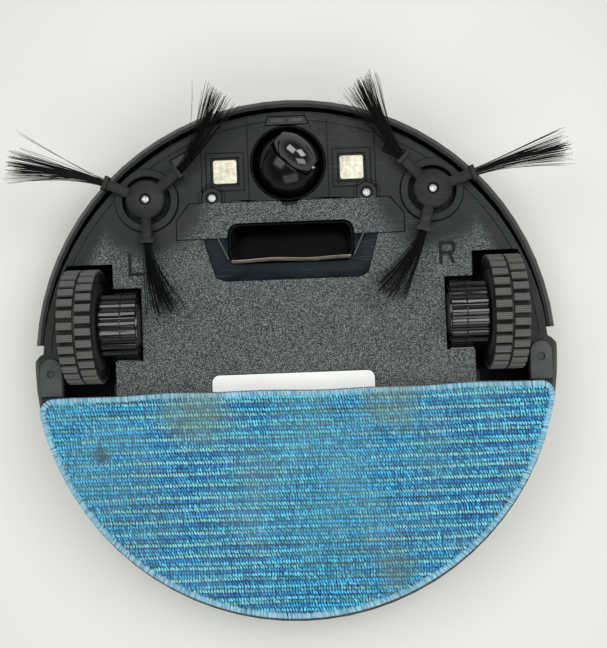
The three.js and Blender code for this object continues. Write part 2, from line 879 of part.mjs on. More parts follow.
function addControls() {
  const { top, roof } = BODY;
  const { radius, flange, flangeThick, rise, bevel } = BUTTON;
  const { ringInner, ringOuter, ringDepth, ringRise } = BUTTON;
  const flangeTop = roof - GAP;
  const profile = [
    [0, flangeTop - flangeThick],
    [flange, flangeTop - flangeThick],
    [flange, flangeTop],
    [radius, flangeTop],
    [radius, top + rise - bevel / 2],
    [radius - bevel, top + rise],
    [0, top + rise],
  ];
  piece(robot, 'power_button', turned(profile, 24), SATIN_BLACK).position.y = BUTTON.y;
  const light = ring(ringInner, ringOuter, top - ringDepth + GAP, top + ringRise);
  piece(robot, 'indicator_ring', light, LIGHT_GUIDE).position.y = BUTTON.y;

  const outer = BODY.radius - JACK.inset;
  const inner = outer - JACK.length;
  const barrel = cut(rodX(JACK.radius, inner, outer), rodX(JACK.bore, inner + JACK.blind, REACH));
  const jack = piece(robot, 'charging_jack', barrel, SATIN_BLACK);
  jack.position.z = JACK.z;
  jack.rotation.z = THREE.MathUtils.degToRad(JACK.angle);
}

// Suction path

function buildDuct() {
  const { low, high, throatTop, wall, front, rear } = DUCT;
  const half = MOUTH.half;
  const outerHalf = half + MOUTH.wall;
  const throat = mouthPrism(MOUTH.wall, BODY.bottom + 2 * SKIN, throatTop + wall);
  const channel = block([-outerHalf, outerHalf], [front, rear], [low - wall, high + wall]);
  const hollow = join(mouthPrism(0, 0, throatTop), block([-half, half], [front - 1, REACH], [low, high]));
  return cut(join(throat, channel), hollow);
}

function buildTray() {
  const low = BODY.bottom + 2 * SKIN;
  const tray = extrudeZ(trayOutline(0), low, low + TRAY.thick);
  return cut(tray, mouthPrism(MOUTH.wall + 2 * GAP, 0, BODY.floorTop));
}

function buildLip() {
  const { half, front, rear, low, high, foot } = LIP;
  return extrudeX(outline([[front, high], [front - foot, low], [front, low], [rear, high]]), -half, half);
}

// A disc with straight blades round a hub.
function buildImpeller() {
  const { impellerLow: low, impeller, hub, hubHigh, floor, shaft } = FAN;
  const { blades, bladeHigh, bladeHalf } = FAN;
  const blade = block([hub - 1, impeller - 1], [-bladeHalf, bladeHalf], [low + 1, low + bladeHigh]);
  const fins = Array.from({ length: blades }, (_, i) => blade.clone().rotateZ((i * 2 * Math.PI) / blades));
  const wheel = join(cylinder(hub, low, low + hubHigh, 16), cylinder(impeller, low, low + floor), ...fins);
  return cut(wheel, cylinder(shaft + SKIN, low + 2 * floor, REACH, 12));
}

// A drum with a snout to the dustbin, a vent on the left and a hole for the motor's shaft.
function buildFanHousing() {
  const { low, high, radius, wall, floor, snoutHalf, snoutLow, snoutHigh, snoutFront, shaft } = FAN;
  const { ventHalf, ventDepth, ventInset } = FAN;
  const rear = BAY.frontRear + 3 * GAP - FAN.y;
  const airHalf = snoutHalf - wall;
  return cut(
    join(
      cylinder(radius, low, high),
      block([-snoutHalf, snoutHalf], [snoutFront, rear], [snoutLow, snoutHigh]),
    ),
    cylinder(radius - wall, low + floor, high - floor),
    block([-airHalf, airHalf], [snoutFront, rear + 1], [snoutLow + wall, snoutHigh - wall]),
    block([-radius - 1, -radius + ventDepth], [-ventHalf, ventHalf], [low + ventInset, high - ventInset]),
    cylinder(2 * shaft, high - 2 * floor, high + 1, 12),
  );
}

function addSuction() {
  piece(robot, 'suction_duct', buildDuct(), GLOSS_BLACK);
  piece(robot, 'inlet_tray', buildTray(), SMOKED);
  piece(robot, 'suction_lip', buildLip(), PALE_RUBBER);
  const fan = new THREE.Group();
  fan.position.y = FAN.y;
  robot.add(fan);
  piece(fan, 'fan_housing', buildFanHousing(), SATIN_BLACK);
  piece(fan, 'fan_impeller', buildImpeller(), MID_GREY);
  const motorLow = FAN.high + GAP;
  const can = cylinder(FAN.motor, motorLow, BODY.roof - GAP);
  const shaft = cylinder(FAN.shaft, motorLow - FAN.shaftDepth, motorLow + 1, 12);
  piece(fan, 'fan_motor', join(can, shaft), STEEL);
}

// Dustbin

function binPrism(inset, low, high) {
  const half = BIN.half - inset;
  const sides = block([-half, half], [BIN.front + inset, REACH], [low, high]);
  return common(sides, cylinder(BIN.radius - inset, low, high, ROUND));
}

function buildBin() {
  const { low, high, wall, radius } = BIN;
  const { half, pocketBack, pocketRear, frame, frameHigh, frameBack } = RELEASE;
  const pocket = block(
    [-half - frame, half + frame],
    [pocketBack - frameBack, pocketRear],
    [RELEASE.low - frameHigh, RELEASE.high + frameHigh],
  );
  const tub = join(cut(binPrism(0, low, high), binPrism(wall, low + wall, high + 1)), pocket);
  const frontWall = [0, BIN.front + wall + SKIN];
  const airHalf = FILTER.half - wall;
  return cut(
    tub,
    block([-half - GAP, half + GAP], [pocketBack, radius + 1], [RELEASE.low - GAP, RELEASE.high + GAP]),
    block([-MOUTH.half, MOUTH.half], frontWall, [DUCT.low + 1, DUCT.high]),
    block([-airHalf, airHalf], frontWall, [FILTER.low + wall, FILTER.high - wall]),
  );
}

function addDustbin() {
  piece(robot, 'dustbin', buildBin(), BIN_CLEAR);
  piece(robot, 'dustbin_lid', binPrism(0, BIN.high + GAP, BIN.lidTop), SATIN_BLACK);
  const { half, front, rear, low, high } = FILTER;
  piece(robot, 'dust_filter', block([-half, half], [front, rear], [low, high]), FILTER_WHITE);
  const face = cylinder(BIN.radius - SKIN, RELEASE.low, RELEASE.high, ROUND);
  const button = common(face, block([-RELEASE.half, RELEASE.half], [RELEASE.back, REACH], [0, REACH]));
  piece(robot, 'bin_release_button', button, GLOSS_BLACK);
}

// Electronics

function addElectronics() {
  const { half, front, rear, low, high } = BATTERY;
  piece(robot, 'battery_pack', block([-half, half], [front, rear], [low, high]), CELL_WRAP);
  const boardTop = BOARD.low + BOARD.thick;
  const plate = block([-BOARD.half, BOARD.half], [BOARD.front, BOARD.rear], [BOARD.low, boardTop]);
  const chips = CHIPS.x.map((x, i) => {
    const depth = [BOARD.low - CHIPS.deep + i, BOARD.low + 1];
    return block([x - CHIPS.half, x + CHIPS.half], [CHIPS.front, CHIPS.rear + 2 * i], depth);
  });
  piece(robot, 'main_board', join(plate, ...chips), CIRCUIT);
}

// Caster

function buildBowl() {
  const { bowl, bowlInner, bowlTop, bowlCeiling, socketHole: hole } = CASTER;
  const low = BODY.bottom - GAP;
  const profile = [
    [hole, bowlCeiling],
    [15, bowlCeiling],
    [bowlInner, 40],
    [bowlInner, low],
    [bowl, low],
    [bowl, 41],
    [16, bowlTop],
    [hole, bowlTop],
    [hole, bowlCeiling],
  ];
  return turned(profile, 28);
}

function buildFork() {
  const { dome, domeLow, domeTop, pin, pinTop, trail, rollerZ, rollerHalf, roller, axle } = CASTER;
  const profile = [
    [0, domeLow],
    [7, domeLow + 0.8],
    [13, domeLow + 3.4],
    [17, domeLow + 7.5],
    [dome, domeLow + 12],
    [17.6, domeLow + 17],
    [14, domeTop],
    [pin, domeTop],
    [pin, pinTop],
    [0, pinTop],
  ];
  const mouth = rollerHalf + 2 * GAP;
  return cut(
    turned(profile, 28),
    rodX(roller + 0.8, -mouth, mouth, 24).translate(0, -trail, rollerZ),
    rodX(axle + SKIN, -REACH, REACH, 12).translate(0, -trail, rollerZ),
  );
}

function buildRoller() {
  const { roller, rollerEnd, rollerHalf, crown, crownHalf, axle } = CASTER;
  const bore = axle + 2 * SKIN;
  const profile = [
    [bore, -rollerHalf],
    [rollerEnd, -rollerHalf],
    [roller - crown, -crownHalf],
    [roller, 0],
    [roller - crown, crownHalf],
    [rollerEnd, rollerHalf],
    [bore, rollerHalf],
    [bore, -rollerHalf],
  ];
  return turned(profile, 24).rotateY(Math.PI / 2);
}

// The sleeve between the bowl and the fork's pin, with a wide flange under the bowl's ceiling.
function buildCollar() {
  const { pin, domeTop, bowlCeiling, bowlTop, collar, collarNeck } = CASTER;
  const bore = pin + SKIN;
  const [low, shoulder, high] = [domeTop + GAP, bowlCeiling - GAP, bowlTop + 1];
  return turned([
    [bore, low],
    [collar, low],
    [collar, shoulder],
    [collarNeck, shoulder],
    [collarNeck, high],
    [bore, high],
    [bore, low],
  ], 28);
}

function addCaster() {
  const caster = new THREE.Group();
  caster.position.y = CASTER.y;
  robot.add(caster);
  piece(caster, 'caster_socket', buildBowl(), GLOSS_BLACK);
  piece(caster, 'caster_collar', buildCollar(), MID_GREY);

  const swivel = new THREE.Group();
  swivel.rotation.z = THREE.MathUtils.degToRad(CASTER.yaw);
  caster.add(swivel);
  piece(swivel, 'caster_fork', buildFork(), GLOSS_BLACK);
  const roller = piece(swivel, 'caster_wheel', buildRoller(), GLOSS_BLACK);
  roller.position.set(0, -CASTER.trail, CASTER.rollerZ);
  const rod = rodX(CASTER.axle, -CASTER.axleHalf, CASTER.axleHalf, 12);
  piece(swivel, 'caster_axle', rod, STEEL).position.copy(roller.position);
}

// Side brushes

function buildBrushHub(arms) {
  const { hub, hubLow, hubTop, boss, bossTop, armHalf, armReach, armThick, shaft, shaftLow } = BRUSH;
  const armLow = hubLow - 0.8;
  const spoke = block([hub - 3, armReach], [-armHalf, armHalf], [armLow, armLow + armThick]);
  const spokes = arms.map(({ arm }) => spoke.clone().rotateZ(THREE.MathUtils.degToRad(arm)));
  return cut(
    join(cylinder(hub, hubLow, hubTop), cylinder(boss, hubTop - 1, bossTop, 16), ...spokes),
    cylinder(BRUSH.screwHead + 2 * GAP, 0, hubLow + 2.2, 16),
    cylinder(BRUSH.screwShank + GAP, 0, bossTop, 12),
    cylinder(shaft + GAP, shaftLow - 0.8, bossTop + 1, 16),
  );
}

// The flange is trimmed to the base's front edge below, and to the inside of its wall above.
function buildBrushMotor(side) {
  const { x, y, flange, flangeInner, flangeLow, roof, roofTop, can, canTop, shaft, shaftLow } = BRUSH;
  const wallLow = BODY.floorTop + GAP;
  const below = cylinder(BUMPER.lip - 2 * GAP, 0, wallLow, ROUND).translate(0, BUMPER.travel + GAP, 0);
  const above = lowTray(wallLow - GAP, REACH, GAP);
  const profile = [
    [0, shaftLow],
    [shaft, shaftLow],
    [shaft, roof],
    [flangeInner, roof],
    [flangeInner, flangeLow],
    [flange, flangeLow],
    [flange, roofTop],
    [can, roofTop],
    [can, canTop],
    [0, canTop],
  ];
  return common(turned(profile, 24), join(below, above).translate(-side * x, -y, 0));
}

// A fan-shaped bundle that leaves the arm straight, bends to its tip's direction and slopes down slightly.
function buildTuft({ arm, tip, reach }) {
  const { tuftRoot, tuftThick, tuftSlope, tuftRootHalf, tuftTipHalf, hubLow } = BRUSH;
  const steps = 6;
  const low = hubLow - 0.4;
  const edges = [-1, 1].map((edge) =>
    Array.from({ length: steps + 1 }, (_, i) => {
      const along = i / steps;
      const radius = tuftRoot + (reach - tuftRoot) * along;
      const bend = (tip - arm) * along ** 2;
      const halfWidth = THREE.MathUtils.lerp(tuftRootHalf, tuftTipHalf, along);
      return polar(radius, arm + bend + edge * THREE.MathUtils.radToDeg(halfWidth / radius));
    }));
  const bundle = extrudeZ([...edges[0], ...edges[1].reverse()], low, low + tuftThick);
  const points = bundle.getAttribute('position');
  for (let i = 0; i < points.count; i += 1) {
    const drop = tuftSlope * (Math.hypot(points.getX(i), points.getY(i)) - tuftRoot);
    points.setZ(i, points.getZ(i) - drop);
  }
  return bundle;
}

function addBrush(name, side) {
  const brush = new THREE.Group();
  brush.position.set(side * BRUSH.x, BRUSH.y, 0);
  robot.add(brush);
  piece(brush, `${name}_brush_motor`, buildBrushMotor(side), MID_GREY);
  piece(brush, `${name}_brush_hub`, buildBrushHub(ARMS[name]), SOFT_RUBBER);
  const { screwHead, screwShank, hubLow, shaftLow } = BRUSH;
  const screw = join(
    cylinder(screwHead, hubLow + GAP, hubLow + 1.9, 16),
    cylinder(screwShank, hubLow + 1, shaftLow - 1, 12),
  );
  piece(brush, `${name}_brush_screw`, screw, STEEL);
  ARMS[name].forEach((arm, i) => piece(brush, `${name}_brush_tuft_${i + 1}`, buildTuft(arm), BRISTLE));
}

// Drive wheels: every piece of a module is measured from its axle, outwards along +X

function buildTyre() {
  const { half, groove, radius, root, lugs, lugShare, bore } = WHEEL;
  const rows = [[-half, -groove, 0], [groove, half, 0.5]].map(([from, to, phase]) =>
    extrudeX(toothed(radius, root, lugs, lugShare, phase), from, to));
  const bridge = rodX(root - 1, -groove - 0.5, groove + 0.5, lugs);
  return cut(join(...rows, bridge), rodX(bore, -REACH, REACH, lugs));
}

function buildWheelHub() {
  const { bore, hubHalf, lugs, dishIn, dishOut, dishFloor } = WHEEL;
  const dish = ring(dishIn, dishOut, dishFloor, REACH).rotateY(Math.PI / 2);
  const rim = rodX(bore - GAP, -hubHalf, hubHalf, lugs);
  return join(cut(rim, dish), rodX(DRUM.axle, DRUM.axleEnd, 0.5 - hubHalf));
}

function buildGearbox() {
  const { radius, rootRadius, ribs, ribShare, inner, outer, axle, axleEnd, motorRadius, motorEnd } = DRUM;
  const { y, z, boss, pin, armIn, armOut, coilIn } = SWING;
  const drum = join(
    extrudeX(toothed(radius, rootRadius, ribs, ribShare, 0), inner + 1, outer - 1),
    rodX(rootRadius - 2 * GAP, inner, outer, ribs),
  );
  const eyeEnd = coilIn - 2 * GAP;
  const eye = rodX(boss, armIn, eyeEnd, 24).translate(0, y, z);
  const arm = cut(
    join(extrudeX(outline(ARM_WEB), armIn, armOut), eye),
    rodX(boss + 2, eyeEnd, REACH, 24).translate(0, y, z),
    rodX(pin + GAP, -REACH, REACH, 20).translate(0, y, z),
  );
  return cut(
    join(drum, arm),
    rodX(axle + SKIN, axleEnd - GAP, REACH),
    rodX(motorRadius + GAP, -REACH, motorEnd + GAP, 24),
  );
}

// A torsion spring round the swing arm's pin.
function buildSpring() {
  const { coil, coilTurns, coilIn, coilLength } = SWING;
  const steps = 9 * coilTurns;
  const points = Array.from({ length: steps + 1 }, (_, i) => {
    const angle = (i / steps) * coilTurns * 2 * Math.PI;
    const along = coilIn + 3 * GAP + (i / steps) * coilLength;
    return new THREE.Vector3(along, coil * Math.cos(angle), coil * Math.sin(angle));
  });
  const wire = new THREE.Shape(arc(0, 0, SWING.wire, 0, 288, 4));
  const path = new THREE.CatmullRomCurve3(points);
  return closed(new THREE.ExtrudeGeometry(wire, { steps, extrudePath: path, bevelEnabled: false }));
}

// The housing over wheel and gearbox, open underneath and to the side, with the swing arm's pin.
function buildHousing() {
  const { low, roof, wall, slotIn, slotFront, slotRear, earIn, earHalf } = WELL;
  const { pocketIn, pocketFront, pocketRear } = WELL;
  const levels = [low, roof + wall];
  const wheelPart = block([slotIn - wall, REACH], [slotFront - 2 * wall, slotRear + 2 * wall], levels);
  const cover = join(
    block([pocketIn - wall, slotIn], [pocketFront - wall, pocketRear + wall], levels),
    common(wheelPart, lowTray(...levels, GAP)),
  );
  const hollow = join(
    block([pocketIn, slotIn + 1], [pocketFront, pocketRear], [0, roof]),
    block([slotIn, REACH], [slotFront - wall, slotRear + wall], [0, roof]),
  );
  const pinY = WHEEL.y + SWING.y;
  const pinZ = WHEEL.z + SWING.z;
  const ear = block([earIn, earIn + wall], [pinY - earHalf, pinY + earHalf], [pinZ - earHalf, roof + 1]);
  const pin = rodX(SWING.pin, pocketIn - wall / 2, earIn + wall / 2, 20).translate(0, pinY, pinZ);
  return join(cut(cover, hollow), ear, pin);
}

function addDrive(name, side) {
  const drive = new THREE.Group();
  drive.position.set(side * WHEEL.x, WHEEL.y, WHEEL.z);
  robot.add(drive);
  piece(drive, `${name}_tyre`, onSide(side, buildTyre()), TYRE_GREY);
  piece(drive, `${name}_wheel_hub`, onSide(side, buildWheelHub()), MID_GREY);
  piece(drive, `${name}_gearbox`, onSide(side, buildGearbox()), GLOSS_BLACK);
  const motor = rodX(DRUM.motorRadius, DRUM.inner + GAP, DRUM.motorEnd, 24);
  piece(drive, `${name}_drive_motor`, onSide(side, motor), STEEL);
  const spring = piece(drive, `${name}_suspension_spring`, onSide(side, buildSpring()), STEEL);
  spring.position.set(0, SWING.y, SWING.z);
  piece(robot, `${name}_wheel_housing`, onSide(side, buildHousing()), SATIN_BLACK);
}

// Mop

function addMop() {
  const stud = cylinder(MOP.stud, MOP.plateTop - 1, MOP.studTop, 16);
  const studs = MOP.studs.map(([x, y]) => stud.clone().translate(x, y, 0));
  const plateOutline = dShape(MOP.plateRadius, MOP.plateFront, MOP.corner - 2);
  const plate = extrudeZ(plateOutline, MOP.plateLow, MOP.plateTop);
  piece(robot, 'mop_plate', join(plate, ...studs), MID_GREY);
  const cloth = extrudeZ(dShape(MOP.clothRadius, MOP.clothFront, MOP.corner), MOP.clothLow, MOP.clothTop);
  piece(robot, 'mop_cloth', cloth, MICROFIBRE);
}

addCasing();
addControls();
addSuction();
addDustbin();
addElectronics();
addCaster();
for (const [name, side] of SIDES) {
  addBrush(name, side);
  addDrive(name, side);
}
addMop();

export default robot;
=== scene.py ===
import json
import math

import bpy
import numpy as np
from mathutils import Matrix, Vector

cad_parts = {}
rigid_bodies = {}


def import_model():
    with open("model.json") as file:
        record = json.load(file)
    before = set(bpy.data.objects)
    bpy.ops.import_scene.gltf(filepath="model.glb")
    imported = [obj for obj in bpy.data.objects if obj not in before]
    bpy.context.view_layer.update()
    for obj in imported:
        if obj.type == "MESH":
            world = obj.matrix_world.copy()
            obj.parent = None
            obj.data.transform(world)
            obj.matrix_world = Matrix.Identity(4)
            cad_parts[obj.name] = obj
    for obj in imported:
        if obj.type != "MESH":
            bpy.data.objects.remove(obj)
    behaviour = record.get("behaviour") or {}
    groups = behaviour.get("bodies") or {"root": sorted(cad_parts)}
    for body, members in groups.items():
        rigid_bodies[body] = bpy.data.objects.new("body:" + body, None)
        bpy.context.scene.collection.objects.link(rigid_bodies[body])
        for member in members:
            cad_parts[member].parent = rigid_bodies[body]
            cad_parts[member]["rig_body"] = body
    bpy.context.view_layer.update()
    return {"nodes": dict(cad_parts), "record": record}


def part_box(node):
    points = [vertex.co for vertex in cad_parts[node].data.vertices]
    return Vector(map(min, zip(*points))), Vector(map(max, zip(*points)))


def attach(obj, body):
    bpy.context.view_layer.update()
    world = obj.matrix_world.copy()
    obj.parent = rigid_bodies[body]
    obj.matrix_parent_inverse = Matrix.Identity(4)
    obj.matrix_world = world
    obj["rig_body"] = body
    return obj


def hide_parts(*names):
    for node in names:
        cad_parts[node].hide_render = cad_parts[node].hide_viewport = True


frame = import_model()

mm = 0.001
sides = {"left": -1, "right": 1}
nodes = frame["nodes"]
slotOf = {part["node"]: part["material_slot"] for part in frame["record"]["subparts"]}
chance = np.random.default_rng(7)
print("frame loaded:", len(nodes), "nodes")


# tools for modelling

def deselectAll():
    if bpy.context.object and bpy.context.object.mode != "OBJECT":
        bpy.ops.object.mode_set(mode="OBJECT")
    bpy.ops.object.select_all(action="DESELECT")


def newObject(name, data):
    piece = bpy.data.objects.new(name, data)
    bpy.context.scene.collection.objects.link(piece)
    return piece


def makeActive(piece):
    deselectAll()
    piece.select_set(True)
    bpy.context.view_layer.objects.active = piece


def enterEdit(piece, everything=True, kind="VERT"):
    makeActive(piece)
    bpy.ops.object.mode_set(mode="EDIT")
    bpy.ops.mesh.select_mode(type=kind)
    bpy.ops.mesh.select_all(action="SELECT" if everything else "DESELECT")


def leaveEdit():
    bpy.ops.object.mode_set(mode="OBJECT")


def faceOutwards():
    # turns all faces outwards and leaves edit mode
    bpy.ops.mesh.select_all(action="SELECT")
    bpy.ops.mesh.normals_make_consistent(inside=False)
    leaveEdit()


def extrudeBy(push):
    bpy.ops.mesh.extrude_region_move(TRANSFORM_OT_translate={"value": push})


def pickFaces(piece, wanted):
    # wanted(centre) says which faces get selected; edit mode stays on
    enterEdit(piece, False, "FACE")
    leaveEdit()
    for face in piece.data.polygons:
        face.select = bool(wanted(face.center))
    bpy.ops.object.mode_set(mode="EDIT")


def applyAll(piece):
    makeActive(piece)
    bpy.ops.object.transform_apply(location=True, rotation=True, scale=True)
    for modifier in list(piece.modifiers):
        bpy.ops.object.modifier_apply(modifier=modifier.name)


def drawChain(name, points):
    # a small plane merged to one vertex, then pulled from point to point, in metres
    deselectAll()
    bpy.ops.mesh.primitive_plane_add(size=mm, location=points[0])
    piece = bpy.context.object
    piece.name = name
    bpy.ops.object.transform_apply(location=True, rotation=True, scale=True)
    enterEdit(piece)
    bpy.ops.mesh.merge(type="CENTER")
    for here, there in zip(points, points[1:]):
        push = Vector(there) - Vector(here)
        bpy.ops.mesh.extrude_vertices_move(TRANSFORM_OT_translate={"value": push})
    bpy.ops.mesh.select_all(action="SELECT")
    return piece


def turnProfile(name, profile, centre=(0, 0, 0), axis="Z", steps=72):
    # (radius, along) pairs in millimetres, turned about the axis through centre
    centre = Vector(centre) * mm
    outwards, along = {"Z": ((1, 0, 0), (0, 0, 1)), "X": ((0, 1, 0), (1, 0, 0))}[axis]
    points = [centre + (Vector(outwards) * r + Vector(along) * a) * mm for r, a in profile]
    piece = drawChain(name, points)
    bpy.ops.mesh.spin(steps=steps, angle=2 * math.pi, center=centre, axis=along)
    bpy.ops.mesh.select_all(action="SELECT")
    bpy.ops.mesh.remove_doubles(threshold=2e-6)
    faceOutwards()
    return piece


def ringSection(inner, outer, low, high):
    # a square profile that turns into a ring
    return [(inner, low), (outer, low), (outer, high), (inner, high), (inner, low)]


def rodSection(radius, low, high):
    # a profile from the axis out and back, that turns into a closed rod
    return [(0, low), (radius, low), (radius, high), (0, high)]


def raiseOutline(name, points, push):
    # a closed outline in millimetres, filled and pushed along a vector
    piece = drawChain(name, [Vector(p) * mm for p in points])
    bpy.ops.mesh.edge_face_add()
    extrudeBy(Vector(push) * mm)
    faceOutwards()
    return piece


def roundedSquare(x, y, half, corner, height, steps=5):
    points = []
    for quarter, (signX, signY) in enumerate([(1, 1), (-1, 1), (-1, -1), (1, -1)]):
        for step in range(steps + 1):
            angle = math.radians(90 * (quarter + step / steps))
            points.append((x + signX * (half - corner) + corner * math.cos(angle),
                           y + signY * (half - corner) + corner * math.sin(angle), height))
    return points


def addBlock(name, low, high):
    low, high = Vector(low) * mm, Vector(high) * mm
    deselectAll()
    bpy.ops.mesh.primitive_cube_add(size=1, location=(low + high) / 2)
    piece = bpy.context.object
    piece.name = name
    piece.scale = high - low
    bpy.ops.object.transform_apply(location=True, rotation=True, scale=True)
    return piece


def addBevel(piece, width, segments=2, angle=32, clamp=True):
    bevel = piece.modifiers.new("edges", "BEVEL")
    bevel.width = width * mm
    bevel.segments = segments
    bevel.limit_method = "ANGLE"
    bevel.angle_limit = math.radians(angle)
    bevel.use_clamp_overlap = clamp
    bevel.loop_slide = clamp
    return bevel


def joinPieces(name, parts):
    deselectAll()
    for part in parts:
        part.select_set(True)
    bpy.context.view_layer.objects.active = parts[0]
    bpy.ops.object.join()
    parts[0].name = name
    return parts[0]


def carve(piece, tools):
    # takes the tools' shapes out of the piece and throws the tools away
    for tool in tools:
        cutter = piece.modifiers.new("cut", "BOOLEAN")
        cutter.operation = "DIFFERENCE"
        cutter.solver = "EXACT"
        cutter.object = tool
    applyAll(piece)
    for tool in tools:
        bpy.data.objects.remove(tool)


def twinOf(piece, name, matrix):
    # a copy with its own mesh, placed by the matrix; a mirrored one is turned right side out
    twin = newObject(name, piece.data.copy())
    twin.matrix_world = matrix
    applyAll(twin)
    if matrix.determinant() < 0:
        enterEdit(twin)
        faceOutwards()
    return twin


def turnAbout(angle, centre, axis="Z"):
    # degrees about an axis through a point in millimetres
    centre = Vector(centre) * mm
    turn = Matrix.Rotation(math.radians(angle), 4, axis)
    return Matrix.Translation(centre) @ turn @ Matrix.Translation(-centre)


mirrorX = Matrix.Diagonal((-1, 1, 1, 1))


def finishPiece(piece, node, material=None, smooth=34):
    # rides with the CAD node it stands for and takes its finish from it
    applyAll(piece)
    bpy.ops.object.shade_smooth_by_angle(angle=math.radians(smooth))
    piece.data.materials.clear()
    piece.data.materials.append(material or finishes[slotOf[node]])
    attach(piece, nodes[node]["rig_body"])
    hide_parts(node)
    return piece


def weldedCopy(node, name):
    # the CAD node's shape with its corners welded
    piece = newObject(name, nodes[node].data.copy())
    enterEdit(piece)
    bpy.ops.mesh.remove_doubles(threshold=3e-6)
    leaveEdit()
    return piece


def softenedCopy(node, name, width, material=None, cuts=()):
    # the CAD node's own shape with grooves cut in and its edges softened
    piece = weldedCopy(node, name)
    if cuts:
        carve(piece, cuts)
    addBevel(piece, width, clamp=False)
    finishPiece(piece, node, material, smooth=50)
    flats = piece.modifiers.new("flats", "WEIGHTED_NORMAL")
    flats.keep_sharp = True
    makeActive(piece)
    bpy.ops.object.modifier_apply(modifier=flats.name)
    return piece


def middleOf(node):
    low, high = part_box(node)
    return (low + high) / 2 / mm


# tools for materials

def tone(red, green, blue):
    # a screen colour out of 255 as the colour a shader takes
    shares = [value / 255 for value in (red, green, blue)]
    return tuple(s / 12.92 if s <= 0.04045 else ((s + 0.055) / 1.055) ** 2.4 for s in shares) + (1.0,)


def fill(tree, socket, value):
    if isinstance(value, bpy.types.NodeSocket):
        tree.links.new(value, socket)
    else:
        socket.default_value = value


def addNode(tree, kind, inputs=None, **settings):
    node = tree.nodes.new("ShaderNode" + kind)
    for key, value in settings.items():
        setattr(node, key, value)
    for key, value in (inputs or {}).items():
        fill(tree, node.inputs[key], value)
    return node


def mixColours(tree, share, first, second):
    mix = addNode(tree, "Mix", data_type="RGBA")
    for index, value in ((0, share), (6, first), (7, second)):
        fill(tree, mix.inputs[index], value)
    return mix.outputs[2]


def maths(tree, how, first, second, clamp=False):
    return addNode(tree, "Math", {0: first, 1: second}, operation=how, use_clamp=clamp).outputs[0]


def plus(tree, first, second, clamp=False):
    return maths(tree, "ADD", first, second, clamp)


def times(tree, first, second, clamp=False):
    return maths(tree, "MULTIPLY", first, second, clamp)


def larger(tree, first, second):
    return maths(tree, "MAXIMUM", first, second)


def vectors(tree, how, *values):
    # a length or a distance comes out as a number, anything else as a vector
    node = addNode(tree, "VectorMath", dict(enumerate(values)), operation=how)
    return node.outputs["Value" if how in ("LENGTH", "DISTANCE") else "Vector"]


def remap(tree, value, low, high, toLow=0.0, toHigh=1.0, ease="LINEAR"):
    node = addNode(tree, "MapRange", {0: value, 1: low, 2: high, 3: toLow, 4: toHigh},
                   interpolation_type=ease)
    return node.outputs[0]


def remapMm(tree, value, low, high, toLow=0.0, toHigh=1.0, ease="LINEAR"):
    return remap(tree, value, low * mm, high * mm, toLow, toHigh, ease)


def noiseOf(tree, vector, scale, detail=3.0, roughness=0.5):
    inputs = {"Vector": vector, "Scale": scale, "Detail": detail, "Roughness": roughness}
    return addNode(tree, "TexNoise", inputs).outputs[0]


def stretched(tree, vector, scale, turn=0.0):
    # turned about Z in degrees
    inputs = {"Vector": vector, "Scale": scale, "Rotation": (0, 0, math.radians(turn))}
    return addNode(tree, "Mapping", inputs).outputs[0]


def newGroup(name, inputs, outputs):
    tree = bpy.data.node_groups.new(name, "ShaderNodeTree")
    for label, kind, value in inputs:
        socket = tree.interface.new_socket(label, in_out="INPUT", socket_type="NodeSocket" + kind)
        if value is not None:
            socket.default_value = value
    for label, kind in outputs:
        tree.interface.new_socket(label, in_out="OUTPUT", socket_type="NodeSocket" + kind)
    return tree, tree.nodes.new("NodeGroupInput").outputs, tree.nodes.new("NodeGroupOutput").inputs


def useGroup(tree, group, inputs):
    return addNode(tree, "Group", inputs, node_tree=group).outputs


def newMaterial(name, **fixed):
    # a Principled material whose unchanging numbers stay on its own sockets
    material = bpy.data.materials.new(name)
    material.use_nodes = True
    tree = material.node_tree
    shader = tree.nodes["Principled BSDF"]
    for key, value in fixed.items():
        shader.inputs[key.replace("_", " ")].default_value = value
    return material, tree, shader, addNode(tree, "TexCoord").outputs["Object"]


def addBump(tree, height, distance):
    return addNode(tree, "Bump", {"Height": height, "Distance": distance * mm}).outputs["Normal"]


# shared effects

def makeGrainGroup():
    # moulded grain: rounded pits of two sizes, and pale flecks painted in as glints
    tree, given, out = newGroup("mouldedGrain", [("Vector", "Vector", None), ("Scale", "Float", 1200.0)],
                                [("Height", "Float"), ("GlintFleck", "Float")])
    cells = addNode(tree, "TexVoronoi", {"Vector": given["Vector"], "Scale": given["Scale"]}).outputs
    small = noiseOf(tree, given["Vector"], times(tree, given["Scale"], 0.45), 2.0)
    height = plus(tree, times(tree, cells["Distance"], 0.7), small)
    tree.links.new(height, out["Height"])
    shade = addNode(tree, "SeparateColor", {0: cells["Color"]}).outputs[0]
    dot = remap(tree, cells["Distance"], 0.4, 0.75, 1.0, 0.1)
    tree.links.new(times(tree, dot, remap(tree, shade, 0.35, 1.0)), out["GlintFleck"])
    return tree


